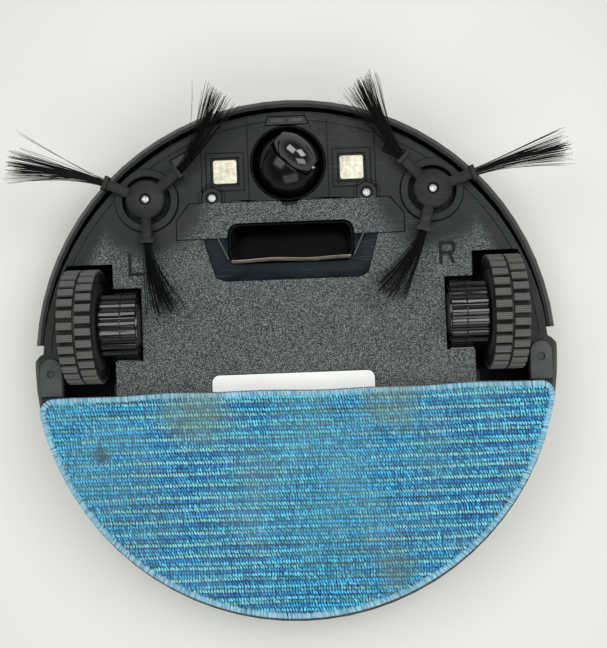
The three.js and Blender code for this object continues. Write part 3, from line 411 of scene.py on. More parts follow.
def makeDustGroup():
    # dust that lies in uneven patches and thins out to single specks
    tree, given, out = newGroup("settledDust", [("Vector", "Vector", None), ("Amount", "Float", 0.3),
                                                ("Patch", "Float", 22.0)], [("Mask", "Float")])
    patches = noiseOf(tree, given["Vector"], given["Patch"], 5.0, 0.62)
    fine = noiseOf(tree, given["Vector"], 700.0, 4.0, 0.7)
    cover = plus(tree, patches, times(tree, given["Amount"], 0.5))
    film = remap(tree, cover, 0.52, 0.9, 0.0, 1.0, "SMOOTHSTEP")
    broken = remap(tree, plus(tree, fine, times(tree, film, 0.25)), 0.42, 0.72)
    specks = addNode(tree, "TexVoronoi", {"Vector": given["Vector"], "Scale": 260.0}).outputs
    speck = remap(tree, specks["Distance"], 0.05, 0.1, 1.0, 0.0)
    kept = remap(tree, noiseOf(tree, given["Vector"], 60.0, 2.0), 0.5, 0.62)
    single = times(tree, times(tree, speck, kept), given["Amount"])
    total = plus(tree, times(tree, film, broken), single, True)
    tree.links.new(times(tree, total, given["Amount"], True), out["Mask"])
    return tree


def makeScuffGroup():
    # fine scratches in three directions, more of them in some places
    tree, given, out = newGroup("fineScuffs", [("Vector", "Vector", None), ("Amount", "Float", 0.5)],
                                [("Mask", "Float")])
    marks = []
    for turn, scale in ((24, (60, 1500, 60)), (-38, (50, 1100, 50)), (81, (40, 1300, 40))):
        lines = noiseOf(tree, stretched(tree, given["Vector"], scale, turn), 1.0, 1.0)
        marks.append(remap(tree, lines, 0.66, 0.74))
    together = larger(tree, larger(tree, marks[0], marks[1]), marks[2])
    where = remap(tree, noiseOf(tree, given["Vector"], 17.0, 3.0), 0.46, 0.66)
    mask = times(tree, times(tree, together, where), given["Amount"], True)
    tree.links.new(mask, out["Mask"])
    return tree


def makeStainGroup():
    # a soft round stain of a given size at one place, with a ragged rim
    tree, given, out = newGroup("roundStain", [("Vector", "Vector", None), ("Centre", "Vector", None),
                                               ("Size", "Float", 0.01)], [("Mask", "Float")])
    ragged = addNode(tree, "TexNoise", {"Vector": given["Vector"], "Scale": 90.0, "Detail": 3.0})
    wobble = vectors(tree, "SUBTRACT", ragged.outputs["Color"], (0.5, 0.5, 0.5))
    moved = vectors(tree, "MULTIPLY_ADD", wobble, (0.012, 0.012, 0.0), given["Vector"])
    flat = vectors(tree, "MULTIPLY", moved, (1.0, 1.0, 0.0))
    share = maths(tree, "DIVIDE", vectors(tree, "DISTANCE", flat, given["Centre"]), given["Size"])
    tree.links.new(remap(tree, share, 0.3, 1.0, 1.0, 0.0, "SMOOTHSTEP"), out["Mask"])
    return tree


# the smooth zones, the painted shade round the brushes and the heights of the sunk parts that get painted
# shade
zoneLook = {"seam": -91.3, "seamSoft": 0.6, "rim": 126, "rimSoft": 8, "brush": (81.8, -93.7),
            "brushSmoothAndShade": 25, "brushGrainedNoShade": 41, "sunkFrom": 28.15, "sunkEdge": 0.2, "sunkTo": 31,
            "sunkFade": 1}


def makeZoneGroup():
    # where the underside is smooth instead of grained, with painted shade round each brush, and painted shade
    # where it is sunk
    look = zoneLook
    tree, given, out = newGroup("casingZones", [("Vector", "Vector", None)],
                                [("Smooth", "Float"), ("SunkShade", "Float")])
    axes = addNode(tree, "SeparateXYZ", {0: given["Vector"]}).outputs
    flat = vectors(tree, "MULTIPLY", given["Vector"], (1.0, 1.0, 0.0))
    seam, soft = look["seam"], look["seamSoft"]
    ahead = remapMm(tree, axes[1], seam - soft, seam + soft, 1.0, 0.0)
    outer = remapMm(tree, vectors(tree, "LENGTH", flat), look["rim"], look["rim"] + look["rimSoft"],
                    ease="SMOOTHSTEP")
    smooth = larger(tree, ahead, outer)
    x, y = look["brush"]
    # round each brush the colour goes smooth and darker: a smooth finish with painted shade
    for sign in sides.values():
        apart = vectors(tree, "DISTANCE", flat, (sign * x * mm, y * mm, 0))
        shadeNearBrush = remapMm(tree, apart, look["brushSmoothAndShade"], look["brushGrainedNoShade"], 1.0, 0.0, "SMOOTHSTEP")
        smooth = larger(tree, smooth, shadeNearBrush)
    tree.links.new(smooth, out["Smooth"])
    # between these heights the underside is sunk, and it gets painted shade
    below = remapMm(tree, axes[2], look["sunkFrom"], look["sunkFrom"] + look["sunkEdge"])
    above = remapMm(tree, axes[2], look["sunkTo"], look["sunkTo"] + look["sunkFade"], 1.0, 0.0)
    tree.links.new(times(tree, below, above), out["SunkShade"])
    return tree


zoneGroup = makeZoneGroup()
grainGroup = makeGrainGroup()
dustGroup = makeDustGroup()
scuffGroup = makeScuffGroup()
stainGroup = makeStainGroup()

# what most finishes share; each finish below changes what is its own
plasticLook = {
    "colour": tone(30, 32, 34), "second": tone(38, 40, 42), "roughness": 0.5, "spread": 0.12,
    "grainScale": 1500.0, "grainDepth": 0.05, "glintFleck": 0.0, "glintColour": tone(90, 92, 94),
    "dust": 0.25, "dustColour": tone(128, 122, 112), "patch": 22.0, "scuffs": 0.3,
    "scuffColour": tone(92, 94, 96), "cloud": 30.0, "zones": None, "wearAndGrooveShade": None,
    "smoothGrain": 0.3, "dustRough": 0.35, "scuffRough": 0.2, "scuffDeep": 0.5,
}


def makePlastic(name, changes, **fixed):
    look = {**plasticLook, **changes}
    material, tree, shader, place = newMaterial(name, **fixed)
    grain = useGroup(tree, grainGroup, {"Vector": place, "Scale": look["grainScale"]})
    dust = useGroup(tree, dustGroup, {"Vector": place, "Amount": look["dust"], "Patch": look["patch"]})
    scuff = useGroup(tree, scuffGroup, {"Vector": place, "Amount": look["scuffs"]})
    cloudy = noiseOf(tree, place, look["cloud"], 4.0)
    colour = mixColours(tree, remap(tree, cloudy, 0.35, 0.65), look["colour"], look["second"])
    depth = grain["Height"]
    # pale flecks mixed into the colour: painted glints on the grain
    if look["glintFleck"]:
        share = times(tree, grain["GlintFleck"], look["glintFleck"])
        colour = mixColours(tree, share, colour, look["glintColour"])
    if look["zones"]:
        zone = useGroup(tree, zoneGroup, {"Vector": place})
        # the smooth zones' colour, with painted shade round the brushes
        colour = mixColours(tree, zone["Smooth"], colour, look["zones"]["smooth"])
        # painted shade in the sunk parts
        colour = mixColours(tree, zone["SunkShade"], colour, look["zones"]["sunk"])
        depth = times(tree, depth, remap(tree, zone["Smooth"], 0.0, 1.0, 1.0, look["smoothGrain"]))
    # tread paler at its outer radius, darker towards the grooves and sidewall: worn tops, and painted shade
    # in the grooves
    if look["wearAndGrooveShade"]:
        wearAndGrooveShade = look["wearAndGrooveShade"]
        flat = vectors(tree, "MULTIPLY", place, (0.0, 1.0, 1.0))
        out = vectors(tree, "DISTANCE", flat, Vector(wearAndGrooveShade["axle"]) * mm)
        colour = mixColours(tree, remapMm(tree, out, wearAndGrooveShade["from"], wearAndGrooveShade["to"]), colour, wearAndGrooveShade["colour"])
    colour = mixColours(tree, scuff["Mask"], colour, look["scuffColour"])
    colour = mixColours(tree, dust["Mask"], colour, look["dustColour"])
    tree.links.new(colour, shader.inputs["Base Color"])
    half = look["spread"] / 2
    rough = remap(tree, cloudy, 0.3, 0.7, look["roughness"] - half, look["roughness"] + half)
    rough = plus(tree, rough, times(tree, dust["Mask"], look["dustRough"]))
    rough = plus(tree, rough, times(tree, scuff["Mask"], look["scuffRough"]), True)
    tree.links.new(rough, shader.inputs["Roughness"])
    height = maths(tree, "SUBTRACT", depth, times(tree, scuff["Mask"], look["scuffDeep"]))
    tree.links.new(addBump(tree, height, look["grainDepth"]), shader.inputs["Normal"])
    return material


def makeMetal(name, colour, second, roughness, brush=(900, 40, 900)):
    material, tree, shader, place = newMaterial(name, Metallic=1.0)
    lines = noiseOf(tree, stretched(tree, place, brush), 1.0, 3.0)
    cloudy = noiseOf(tree, place, 120.0, 3.0)
    dust = useGroup(tree, dustGroup, {"Vector": place, "Amount": 0.25, "Patch": 90.0})
    colours = mixColours(tree, remap(tree, cloudy, 0.35, 0.7), colour, second)
    colours = mixColours(tree, dust["Mask"], colours, tone(110, 102, 90))
    tree.links.new(colours, shader.inputs["Base Color"])
    rough = remap(tree, lines, 0.3, 0.7, roughness - 0.08, roughness + 0.1)
    rough = plus(tree, rough, times(tree, dust["Mask"], 0.3), True)
    tree.links.new(rough, shader.inputs["Roughness"])
    tree.links.new(addBump(tree, lines, 0.01), shader.inputs["Normal"])
    return material


finishes = {
    "grained_plastic": makePlastic("grainedBlack", {
        "colour": tone(25, 29, 29), "second": tone(36, 40, 40), "roughness": 0.6, "grainScale": 2700.0,
        # many bright flecks: painted glints on the grain
        "grainDepth": 0.14, "glintFleck": 1.0, "glintColour": tone(146, 154, 151), "dust": 0.12,
        # smooth: the smooth finish, also painted shade round the brushes; sunk: painted shade
        "zones": {"smooth": tone(32, 35, 37), "sunk": tone(18, 20, 21)}}, Specular_IOR_Level=0.2),
    "satin_plastic": makePlastic("satinBlack", {
        "colour": tone(23, 24, 26), "second": tone(29, 30, 32), "roughness": 0.48, "grainDepth": 0.04,
        "dust": 0.1, "scuffs": 0.25}, Specular_IOR_Level=0.18),
    "gloss_plastic": makePlastic("glossBlack", {
        "colour": tone(8, 9, 11), "second": tone(12, 13, 15), "roughness": 0.13, "spread": 0.06,
        "grainDepth": 0.002, "dust": 0.05, "scuffs": 0.06}, Specular_IOR_Level=0.38),
    "grey_plastic": makePlastic("matteGrey", {
        "colour": tone(54, 57, 58), "second": tone(64, 67, 68), "roughness": 0.62, "grainDepth": 0.06,
        # a few pale flecks: painted glints
        "dust": 0.2, "glintFleck": 0.3, "glintColour": tone(88, 90, 88)}, Specular_IOR_Level=0.25),
    "smoked_plastic": makePlastic("smokedBlue", {
        "colour": tone(4, 14, 19), "second": tone(12, 26, 33), "roughness": 0.3, "spread": 0.14,
        "grainDepth": 0.004, "dust": 0.08, "dustColour": tone(74, 90, 96), "cloud": 60.0},
        Specular_IOR_Level=0.06),
    "bin_plastic": makePlastic("binSmoke", {
        "colour": tone(34, 38, 42), "second": tone(40, 44, 48), "roughness": 0.2, "grainDepth": 0.004,
        "dust": 0.16}, Coat_Weight=0.2),
    "dark_window": makePlastic("infraredWindow", {
        "colour": tone(12, 8, 10), "second": tone(20, 10, 14), "roughness": 0.3, "spread": 0.05,
        "grainDepth": 0.001, "dust": 0.1, "scuffs": 0.1}, Specular_IOR_Level=0.2),
    "light_guide": makePlastic("lightRing", {
        "colour": tone(178, 196, 208), "second": tone(192, 208, 218), "roughness": 0.3, "grainDepth": 0.004,
        "dust": 0.1, "scuffs": 0.1}, Subsurface_Weight=0.1),
    "label_film": makePlastic("labelFilm", {
        "colour": tone(220, 221, 219), "second": tone(226, 227, 224), "roughness": 0.4, "grainDepth": 0.006,
        "dust": 0.14, "dustColour": tone(176, 170, 158), "scuffColour": tone(190, 188, 184)}),
    "soft_rubber": makePlastic("brushRubber", {
        "colour": tone(24, 26, 27), "second": tone(34, 36, 36), "roughness": 0.55, "grainDepth": 0.03,
        "dust": 0.1, "patch": 60.0}, Specular_IOR_Level=0.2),
    "pale_rubber": makePlastic("lipRubber", {
        "colour": tone(112, 104, 95), "second": tone(150, 141, 130), "roughness": 0.55, "grainDepth": 0.03,
        "dust": 0.2, "dustColour": tone(88, 76, 66), "patch": 110.0, "cloud": 150.0}, Subsurface_Weight=0.1),
    "tyre_rubber": makePlastic("tyreRubber", {
        "colour": tone(9, 10, 10), "second": tone(17, 17, 17), "roughness": 0.8, "grainScale": 2200.0,
        "dust": 0.3, "dustColour": tone(92, 88, 80), "patch": 95.0, "scuffs": 0.1,
        # paler worn tread tops; the grooves and sidewall darker as painted shade
        "wearAndGrooveShade": {"axle": (0, -22.7, 33), "from": 30.8, "to": 33.0, "colour": tone(92, 93, 91)}},
        Specular_IOR_Level=0.3),
    "bristle": makePlastic("bristleNylon", {
        "colour": tone(5, 5, 6), "second": tone(11, 11, 12), "roughness": 0.45, "grainDepth": 0.004,
        "dust": 0.03, "dustColour": tone(80, 78, 74), "patch": 150.0, "scuffs": 0.0},
        Specular_IOR_Level=0.06),
    "filter_paper": makePlastic("filterPaper", {
        "colour": tone(222, 219, 210), "second": tone(232, 230, 222), "roughness": 0.9, "grainScale": 900.0,
        "grainDepth": 0.12, "dust": 0.5, "dustColour": tone(128, 120, 108)}),
    "battery_wrap": makePlastic("cellWrap", {
        "colour": tone(38, 84, 150), "second": tone(44, 92, 160), "roughness": 0.35, "grainDepth": 0.006}),
    "circuit_board": makePlastic("circuitGreen", {
        "colour": tone(24, 84, 50), "second": tone(30, 98, 60), "roughness": 0.42, "grainDepth": 0.01}),
    "steel": makeMetal("brightSteel", tone(178, 180, 181), tone(150, 151, 152), 0.4),
    "nickel": makeMetal("contactNickel", tone(208, 206, 190), tone(196, 193, 174), 0.55, (500, 500, 500)),
}

# the blacker, glossier pieces
polishLook = {"colour": tone(6, 6, 8), "second": tone(10, 10, 12), "roughness": 0.1, "spread": 0.04,
              "grainDepth": 0.001, "dust": 0.04, "scuffs": 0.03}
drumBlack = makePlastic("drumBlack", {**polishLook, "roughness": 0.09}, Specular_IOR_Level=0.8,
                        Coat_Weight=0.2)
gearboxBlack = makePlastic("gearboxBlack", polishLook, Specular_IOR_Level=0.5)
domeBlack = makePlastic("domeBlack", {
    **polishLook, "colour": tone(6, 6, 7), "second": tone(9, 9, 10), "roughness": 0.14, "dust": 0.05,
    "scuffs": 0.04}, Specular_IOR_Level=0.22)
# near black with little reflection: black plastic darkened further as painted shade inside the throat and the
# caster bowl
throatShadeBlack = makePlastic("throatShadeBlack", {
    "colour": tone(2, 2, 3), "second": tone(4, 4, 5), "roughness": 0.22, "grainDepth": 0.003,
    "dust": 0.03, "scuffs": 0.03}, Specular_IOR_Level=0.04)
print("finishes made:", len(finishes))

# casing

chassisLook = {"edge": 0.35, "seamWide": 0.35, "seamDeep": 0.45, "seamsX": (-50, -23, 23, 50),
               "seamFront": -150, "seamBack": -91.6, "archRadius": 7.6, "rimLine": 140.2,
               "rimLineY": 3.0, "rimLineEnd": -9.0, "frameHalf": 10.7, "frameWide": 0.45,
               "frameDeep": 0.35, "latchHalf": 1.75, "latchFrom": -92, "latchTo": -85.4,
               "latchWide": 0.4, "tabEdge": 27.9, "tabX": 133, "tabFrom": -6, "tabTo": 17}
cutClear = 1.0  # how far a cutter starts below the face it cuts


def chassisSeams():
    # the thin joint lines ahead of the battery cover and round its two screws
    look = chassisLook
    half, top = look["seamWide"] / 2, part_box("battery_cover")[0].z / mm
    low, deep = top - cutClear, top + look["seamDeep"]
    tools = []
    for x in look["seamsX"]:
        tools.append(addBlock("seam", (x - half, look["seamFront"], low),
                              (x + half, look["seamBack"], deep)))
    for side in sides:
        x, y, z = middleOf(side + "_cover_screw")
        arch = ringSection(look["archRadius"] - half, look["archRadius"] + half, low, deep)
        tools.append(turnProfile("seam", arch, (x, y, 0), steps=40))
        tools.append(squareGroove(side, top))
    line = ringSection(look["rimLine"] - half, look["rimLine"] + half, low, deep)
    rim = turnProfile("seam", line, (0, look["rimLineY"], 0), steps=90)
    enterEdit(rim)
    bpy.ops.mesh.bisect(plane_co=(0, look["rimLineEnd"] * mm, 0), plane_no=(0, 1, 0),
                        use_fill=True, clear_outer=True)
    leaveEdit()
    return tools + [rim]


def squareGroove(side, top):
    # a thin square line round the charging contact: a ring turned in four steps
    look = chassisLook
    x, y, _ = middleOf(side + "_charging_contact")
    inner = look["frameHalf"] * math.sqrt(2)
    outer = inner + look["frameWide"] * math.sqrt(2)
    section = ringSection(inner, outer, top - cutClear, top + look["frameDeep"])
    groove = turnProfile("groove", section, (x, y, 0), steps=4)
    groove.matrix_world = turnAbout(45, (x, y, 0))
    applyAll(groove)
    return groove


def latchSlots():
    # two short lines either side of the battery cover's thumb latch
    look = chassisLook
    low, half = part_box("battery_cover")[0].z / mm, look["latchWide"] / 2
    return [addBlock("slot", (x - half, look["latchFrom"], low - cutClear),
                     (x + half, look["latchTo"], low + look["seamDeep"]))
            for x in (-look["latchHalf"], look["latchHalf"])]


def onTab(centre):
    # the low tabs at the bumper's two ends
    x, y, z = centre
    look = chassisLook
    return (z < look["tabEdge"] * mm and abs(x) > look["tabX"] * mm
            and look["tabFrom"] * mm < y < look["tabTo"] * mm)


chassis = softenedCopy("base_chassis", "chassisShell", chassisLook["edge"], cuts=chassisSeams())
pickFaces(chassis, onTab)
chassis.data.materials.append(finishes["grey_plastic"])
chassis.active_material_index = 1
bpy.ops.object.material_slot_assign()
leaveEdit()

# the CAD node, the finished piece and the width of its softened edges
casingEdges = (
    ("top_cover", "topShell", 0.5), ("top_panel", "topPanelGloss", 0.2), ("front_bumper", "bumperShell", 0.5),
    ("bumper_window", "bumperGlass", 0.2), ("battery_cover", "batteryDoor", 0.3),
    ("rating_label", "ratingLabel", 0.12), ("power_button", "powerKey", 0.35),
    ("indicator_ring", "powerLight", 0.25), ("charging_jack", "chargeSocket", 0.25),
    ("front_cliff_window", "cliffGlassFront", 0.2),
)
for node, name, width in casingEdges:
    softenedCopy(node, name, width, cuts=latchSlots() if node == "battery_cover" else ())

lensLook = {"from": 1.4, "to": 9.2, "half": 1.0, "proud": 0.25, "sunk": 0.6, "edge": 0.2,
            "glassEdge": 0.2}
low, high = (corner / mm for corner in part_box("front_cliff_window"))
middle = (low.y + high.y) / 2
for side, sign in sides.items():
    x0, x1 = sorted((sign * lensLook["from"], sign * lensLook["to"]))
    lens = addBlock(side + "CliffLens", (x0, middle - lensLook["half"], low.z - lensLook["proud"]),
                    (x1, middle + lensLook["half"], low.z + lensLook["sunk"]))
    addBevel(lens, lensLook["edge"])
    finishPiece(lens, "front_cliff_window", finishes["grey_plastic"])
for side in sides:
    softenedCopy(side + "_cliff_window", side + "CliffGlass", lensLook["glassEdge"])
print("casing done")

# screws and contacts

# headCurve is in shares of the radius and of the crown
screwLook = {"crossHalf": 0.42, "crossDeep": 0.9, "crossReach": 0.62, "crown": 0.35, "peak": 0.05,
             "headCurve": ((0.5, 0), (0.85, 0.5), (1, 1.6)), "headHigh": 1.2, "shank": 0.45, "edge": 0.08,
             "radius": {"cover": 2.5, "brush": 2.4}, "turn": {"cover": 18, "brush": 37}}


def phillipsScrew(side, kind):
    look, node = screwLook, f"{side}_{kind}_screw"
    x, y, _ = middleOf(node)
    low, high = (corner.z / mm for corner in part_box(node))
    radius, under, peak = look["radius"][kind], low + look["headHigh"], look["peak"]
    curve = [(radius * out, low + look["crown"] * up) for out, up in look["headCurve"]]
    shank = [(radius * look["shank"], under + peak), (radius * look["shank"], high), (0, high)]
    profile = [(0, low - peak)] + curve + [(radius, under)] + shank
    screw = turnProfile(side + kind.title() + "Screw", profile, (x, y, 0), steps=32)
    half, reach = look["crossHalf"], radius * look["crossReach"]
    bar = addBlock("cross", (x - reach, y - half, low - cutClear),
                   (x + reach, y + half, low + look["crossDeep"]))
    other = twinOf(bar, "cross", turnAbout(90, (x, y, 0)))
    for part in (bar, other):
        part.matrix_world = turnAbout(look["turn"][kind], (x, y, 0))
        applyAll(part)
    carve(screw, [bar, other])
    addBevel(screw, look["edge"], 1)
    return finishPiece(screw, node, smooth=40)


contactLook = {"half": 6.9, "corner": 1.5, "edge": 0.45}


def contactPlate(side):
    look, node = contactLook, side + "_charging_contact"
    x, y, _ = middleOf(node)
    low, high = (corner.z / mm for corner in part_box(node))
    outline = roundedSquare(x, y, look["half"], look["corner"], low)
    plate = raiseOutline(side + "ContactPlate", outline, (0, 0, high - low))
    addBevel(plate, look["edge"], 3)
    return finishPiece(plate, node)


for side in sides:
    phillipsScrew(side, "cover")
    phillipsScrew(side, "brush")
    contactPlate(side)
print("screws and contacts done")

# suction mouth

mouthLook = {"ringAt": (-27, -48), "ringInner": 1.3, "ringOuter": 2.1, "squareAt": (0, -48),
             "squareHalf": 1.4, "squareDrop": 0.04, "proud": 0.3, "edge": 0.12,
             "guideFrom": (42, -72.4), "guideTo": (35.4, -58.2), "guideWide": 1.1, "guideDrop": 1.9,
             "guideTall": 2.3, "guideEdge": 0.2, "lipBack": 0.3, "lipThick": 0.4,
             "lipTip": ((0, 0.5), (0.1, 0), (0.45, 0.1)), "lipWave": 0.4, "lipRipple": 0.6,
             "lipSway": 0.31, "lipSteps": 34, "lipEdge": 0.25, "throatEdge": 0.3}


def trayWithMarks():
    look, tray = mouthLook, weldedCopy("inlet_tray", "inletTray")
    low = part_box("inlet_tray")[0].z / mm
    x, y = look["ringAt"]
    section = ringSection(look["ringInner"], look["ringOuter"], low - look["proud"], low + look["proud"])
    ring = turnProfile("mark", section, (x, y, 0), steps=28)
    (x, y), half = look["squareAt"], look["squareHalf"]
    square = addBlock("mark", (x - half, y - half, low - look["proud"] + look["squareDrop"]),
                      (x + half, y + half, low + look["proud"]))
    guides = []
    (x0, y0), (x1, y1) = look["guideFrom"], look["guideTo"]
    wide, under = look["guideWide"], low - look["guideDrop"]
    for sign in sides.values():
        outline = [(sign * x0, y0, under), (sign * (x0 + wide), y0, under),
                   (sign * (x1 + wide), y1, under), (sign * x1, y1, under)]
        guides.append(raiseOutline("guide", outline, (0, 0, look["guideTall"])))
    tray = joinPieces("inletTray", [tray, ring, square])
    addBevel(tray, look["edge"])
    fins = joinPieces("mouthGuides", guides)
    addBevel(fins, look["guideEdge"])
    finishPiece(fins, "inlet_tray", finishes["grey_plastic"])
    return finishPiece(tray, "inlet_tray")


def wavyLip():
    # a soft strip that leans back and ripples a little along its free edge
    look = mouthLook
    low, high = (Vector(corner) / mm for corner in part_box("suction_lip"))
    stepX = (high.x - low.x) / look["lipSteps"]
    back, front = high.y - look["lipBack"], low.y + look["lipBack"]
    points = [(low.x, back, high.z), (low.x, back - look["lipThick"], high.z)]
    points += [(low.x, front + along, low.z + up) for along, up in look["lipTip"]]
    lip = drawChain("suctionLip", [Vector(p) * mm for p in points])
    bpy.ops.mesh.edge_face_add()
    wave, ripple, swing = look["lipWave"], look["lipRipple"], look["lipSway"]
    for step in range(look["lipSteps"]):
        rise = wave * (math.sin((step + 1) * ripple) - math.sin(step * ripple)) * 0.5
        sway = wave * (math.sin((step + 1) * swing + 1) - math.sin(step * swing + 1))
        extrudeBy(Vector((stepX, sway, rise)) * mm)
    faceOutwards()
    addBevel(lip, look["lipEdge"])
    return finishPiece(lip, "suction_lip", smooth=60)


trayWithMarks()
wavyLip()
# the throat in near black: painted shade inside it
softenedCopy("suction_duct", "suctionThroat", mouthLook["throatEdge"], throatShadeBlack)
print("suction mouth done")

# caster

casterLook = {"yaw": 42, "centre": (0, -112.5), "domeRadius": 18.6, "domeMiddle": 32.5, "domeBelow": 12.0,
              "domeAbove": 13.7, "domeTop": 41.5, "domeEdge": 0.5, "neck": 8, "pin": 2.0, "pinTop": 47.5,
              "trail": 7.0, "rollerZ": 27.5, "roller": 10.5, "rollerHalf": 12.9, "rollerBore": 1.8,
              "barrel": 4.4, "barrelCurve": 2.3, "slotGap": 0.75, "axle": 1.6, "axleHalf": 14.0,
              "axlePlay": 0.15, "axleEdge": 0.3, "boreOver": 0.2,
              "bowlRim": 27.7, "bowlInner": 20.3, "bowlOuter": 21.6, "ceiling": 39.3, "ceilingCurve": 5.3,
              "bowlShoulder": (16, 41), "bowlTop": 46.4, "bowlBore": 3.8, "rimInside": (0.4, 0.5),
              "rimOutside": (0.2, 0.3), "collarEdge": 0.3}


def rollerCurve(grow, steps=17):
    # the barrel-shaped side of the roller, or of the slot round it, as radius and place along the axle
    half = casterLook["rollerHalf"] + grow
    radius, barrel, curve = casterLook["roller"] + grow, casterLook["barrel"], casterLook["barrelCurve"]
    return [(radius - barrel * abs(a / half) ** curve, a) for a in np.linspace(-half, half, steps)]


def casterDome():
    look = casterLook
    x, y = look["centre"]
    lower = [(look["domeRadius"] * math.sin(math.radians(a)),
              look["domeMiddle"] - look["domeBelow"] * math.cos(math.radians(a))) for a in range(0, 91, 6)]
    upper = [(look["domeRadius"] * math.cos(math.radians(a)),
              look["domeMiddle"] + look["domeAbove"] * math.sin(math.radians(a))) for a in range(8, 41, 8)]
    neck = [(look["pin"] + look["neck"], look["domeTop"]), (look["pin"], look["domeTop"]),
            (look["pin"], look["pinTop"]), (0, look["pinTop"])]
    dome = turnProfile("casterDome", lower + upper + neck, (x, y, 0), steps=80)
    wide, middle = rollerCurve(look["slotGap"]), (x, y - look["trail"], look["rollerZ"])
    slot = turnProfile("slot", [(0, wide[0][1])] + wide + [(0, wide[-1][1])], middle, "X", 72)
    end = look["axleHalf"] + look["boreOver"]
    bore = turnProfile("bore", rodSection(look["axle"], -end, end), middle, "X", 20)
    carve(dome, [slot, bore])
    addBevel(dome, look["domeEdge"], 3, 40)
    applyAll(dome)
    dome.matrix_world = turnAbout(look["yaw"], (x, y, 0))
    return finishPiece(dome, "caster_fork", domeBlack, 40)


def casterRoller():
    look = casterLook
    x, y = look["centre"]
    curve = rollerCurve(0)
    bore, start, stop = look["rollerBore"], curve[0][1], curve[-1][1]
    profile = [(bore, start)] + curve + [(bore, stop), (bore, start)]
    roller = turnProfile("casterRoller", profile, (x, y - look["trail"], look["rollerZ"]), "X", 72)
    roller.matrix_world = turnAbout(look["yaw"], (x, y, 0))
    return finishPiece(roller, "caster_wheel", drumBlack, 50)


def casterAxle():
    look = casterLook
    x, y = look["centre"]
    radius, end, edge = look["axle"] - look["axlePlay"], look["axleHalf"], look["axleEdge"]
    profile = [(0, -end), (radius - edge, -end), (radius, edge - end), (radius, end - edge),
               (radius - edge, end), (0, end)]
    axle = turnProfile("casterAxle", profile, (x, y - look["trail"], look["rollerZ"]), "X", 24)
    axle.matrix_world = turnAbout(look["yaw"], (x, y, 0))
    return finishPiece(axle, "caster_axle")


def casterBowl():
    # a thin rim, a smooth wall and a rounded ceiling
    look = casterLook
    (x, y), rim, inner, outer = look["centre"], look["bowlRim"], look["bowlInner"], look["bowlOuter"]
    curve, bore = look["ceilingCurve"], look["bowlBore"]
    ceiling = [(inner - curve * (1 - math.cos(math.radians(a))),
                look["ceiling"] + curve * math.sin(math.radians(a))) for a in range(0, 91, 15)]
    (shoulder, shoulderFrom), top = look["bowlShoulder"], look["bowlTop"]
    (inwards, insideHigh), (outwards, outsideHigh) = look["rimInside"], look["rimOutside"]
    profile = ([(bore, look["ceiling"] + curve)] + ceiling[::-1]
               + [(inner, rim + insideHigh), (inner + inwards, rim), (outer - outwards, rim),
                  (outer, rim + outsideHigh), (outer, shoulderFrom), (shoulder, top), (bore, top),
                  (bore, look["ceiling"] + curve)])
    bowl = turnProfile("casterBowl", profile, (x, y, 0), steps=80)
    # the bowl takes the throat's near black: painted shade, which also hides its rim's light
    return finishPiece(bowl, "caster_socket", throatShadeBlack, 40)


casterDome()
casterRoller()
casterAxle()
casterBowl()
softenedCopy("caster_collar", "casterCollar", casterLook["collarEdge"])
print("caster done")

# side brushes

brushLook = {
    # direction of each arm, direction of its tuft's tip, and the tip's distance from the screw
    "arms": {
        "left": ((203.6, 196.2, 76), (322.7, 309.5, 72), (88.8, 79.9, 68)),
        "right": ((226.4, 235.4, 72), (341.5, 345.7, 76), (105.6, 117.0, 68)),
    },
    # the disc as radius and height, the rest as distance along the arm and height
    "disc": ((3.1, 22.4), (3.1, 20.0), (3.5, 19.6), (5.2, 19.6), (8.9, 20.6), (10.4, 21.2), (11, 22.1),
             (11, 27.4), (6.5, 27.4), (6.5, 33), (2.4, 33), (2.4, 22.4), (3.1, 22.4)),
    "beam": ((9.6, 21.4), (24.6, 18.4), (24.6, 21.9), (9.6, 24.6)), "beamHalf": 2.8,
    "rib": ((10.4, 20.9), (24.4, 17.8), (24.4, 19), (10.4, 22)), "ribsFrom": (-2.9, 2.1), "ribWide": 0.8,
    "bar": ((22.6, 17.1), (25.2, 16.8), (25.2, 22.4), (22.6, 22.7)), "barHalf": 4.3,
    "discEdge": 0.2, "armEdge": 0.35,
    "rootRadius": 23.4, "rootHeight": 19.9, "rootHalf": 2.1, "rootVaries": 1.2, "tipHeights": (4.0, 9.0),
    "fan": 5.0, "fanMost": 2.2, "strands": 105, "strandRadius": 0.15, "strandTip": 0.55, "rings": 9,
    "stray": 0.06, "strayFan": 7.0, "stiffness": 0.3, "lengthVaries": (-0.12, 0.03), "wander": 0.3,
    "droop": 1.15,
}


def brushHub(side):
    look = brushLook
    x, y, _ = middleOf(side + "_brush_screw")
    disc = turnProfile("disc", look["disc"], (x, y, 0), steps=64)
    addBevel(disc, look["discEdge"])
    applyAll(disc)

    def armPart(shape, start, wide):
        outline = [(x + along, y + start, high) for along, high in look[shape]]
        return raiseOutline(shape, outline, (0, wide, 0))

    beam = armPart("beam", -look["beamHalf"], 2 * look["beamHalf"])
    ribs = [armPart("rib", start, look["ribWide"]) for start in look["ribsFrom"]]
    bar = armPart("bar", -look["barHalf"], 2 * look["barHalf"])
    arm = joinPieces("arm", [beam, bar] + ribs)
    addBevel(arm, look["armEdge"])
    applyAll(arm)
    arms = [twinOf(arm, "arm", turnAbout(angle, (x, y, 0))) for angle, _, _ in look["arms"][side]]
    bpy.data.objects.remove(arm)
    hub = joinPieces(side + "BrushHub", [disc] + arms)
    return finishPiece(hub, side + "_brush_hub", smooth=40)


def unitStrand(name, corners, rings):
    # a closed tube of radius 1 from height 0 to 1, pulled up ring by ring
    deselectAll()
    bpy.ops.mesh.primitive_circle_add(vertices=corners, radius=1, fill_type="NGON")
    strand = bpy.context.object
    strand.name = name
    enterEdit(strand)
    for _ in range(rings - 1):
        extrudeBy((0, 0, 1 / (rings - 1)))
    faceOutwards()
    return strand


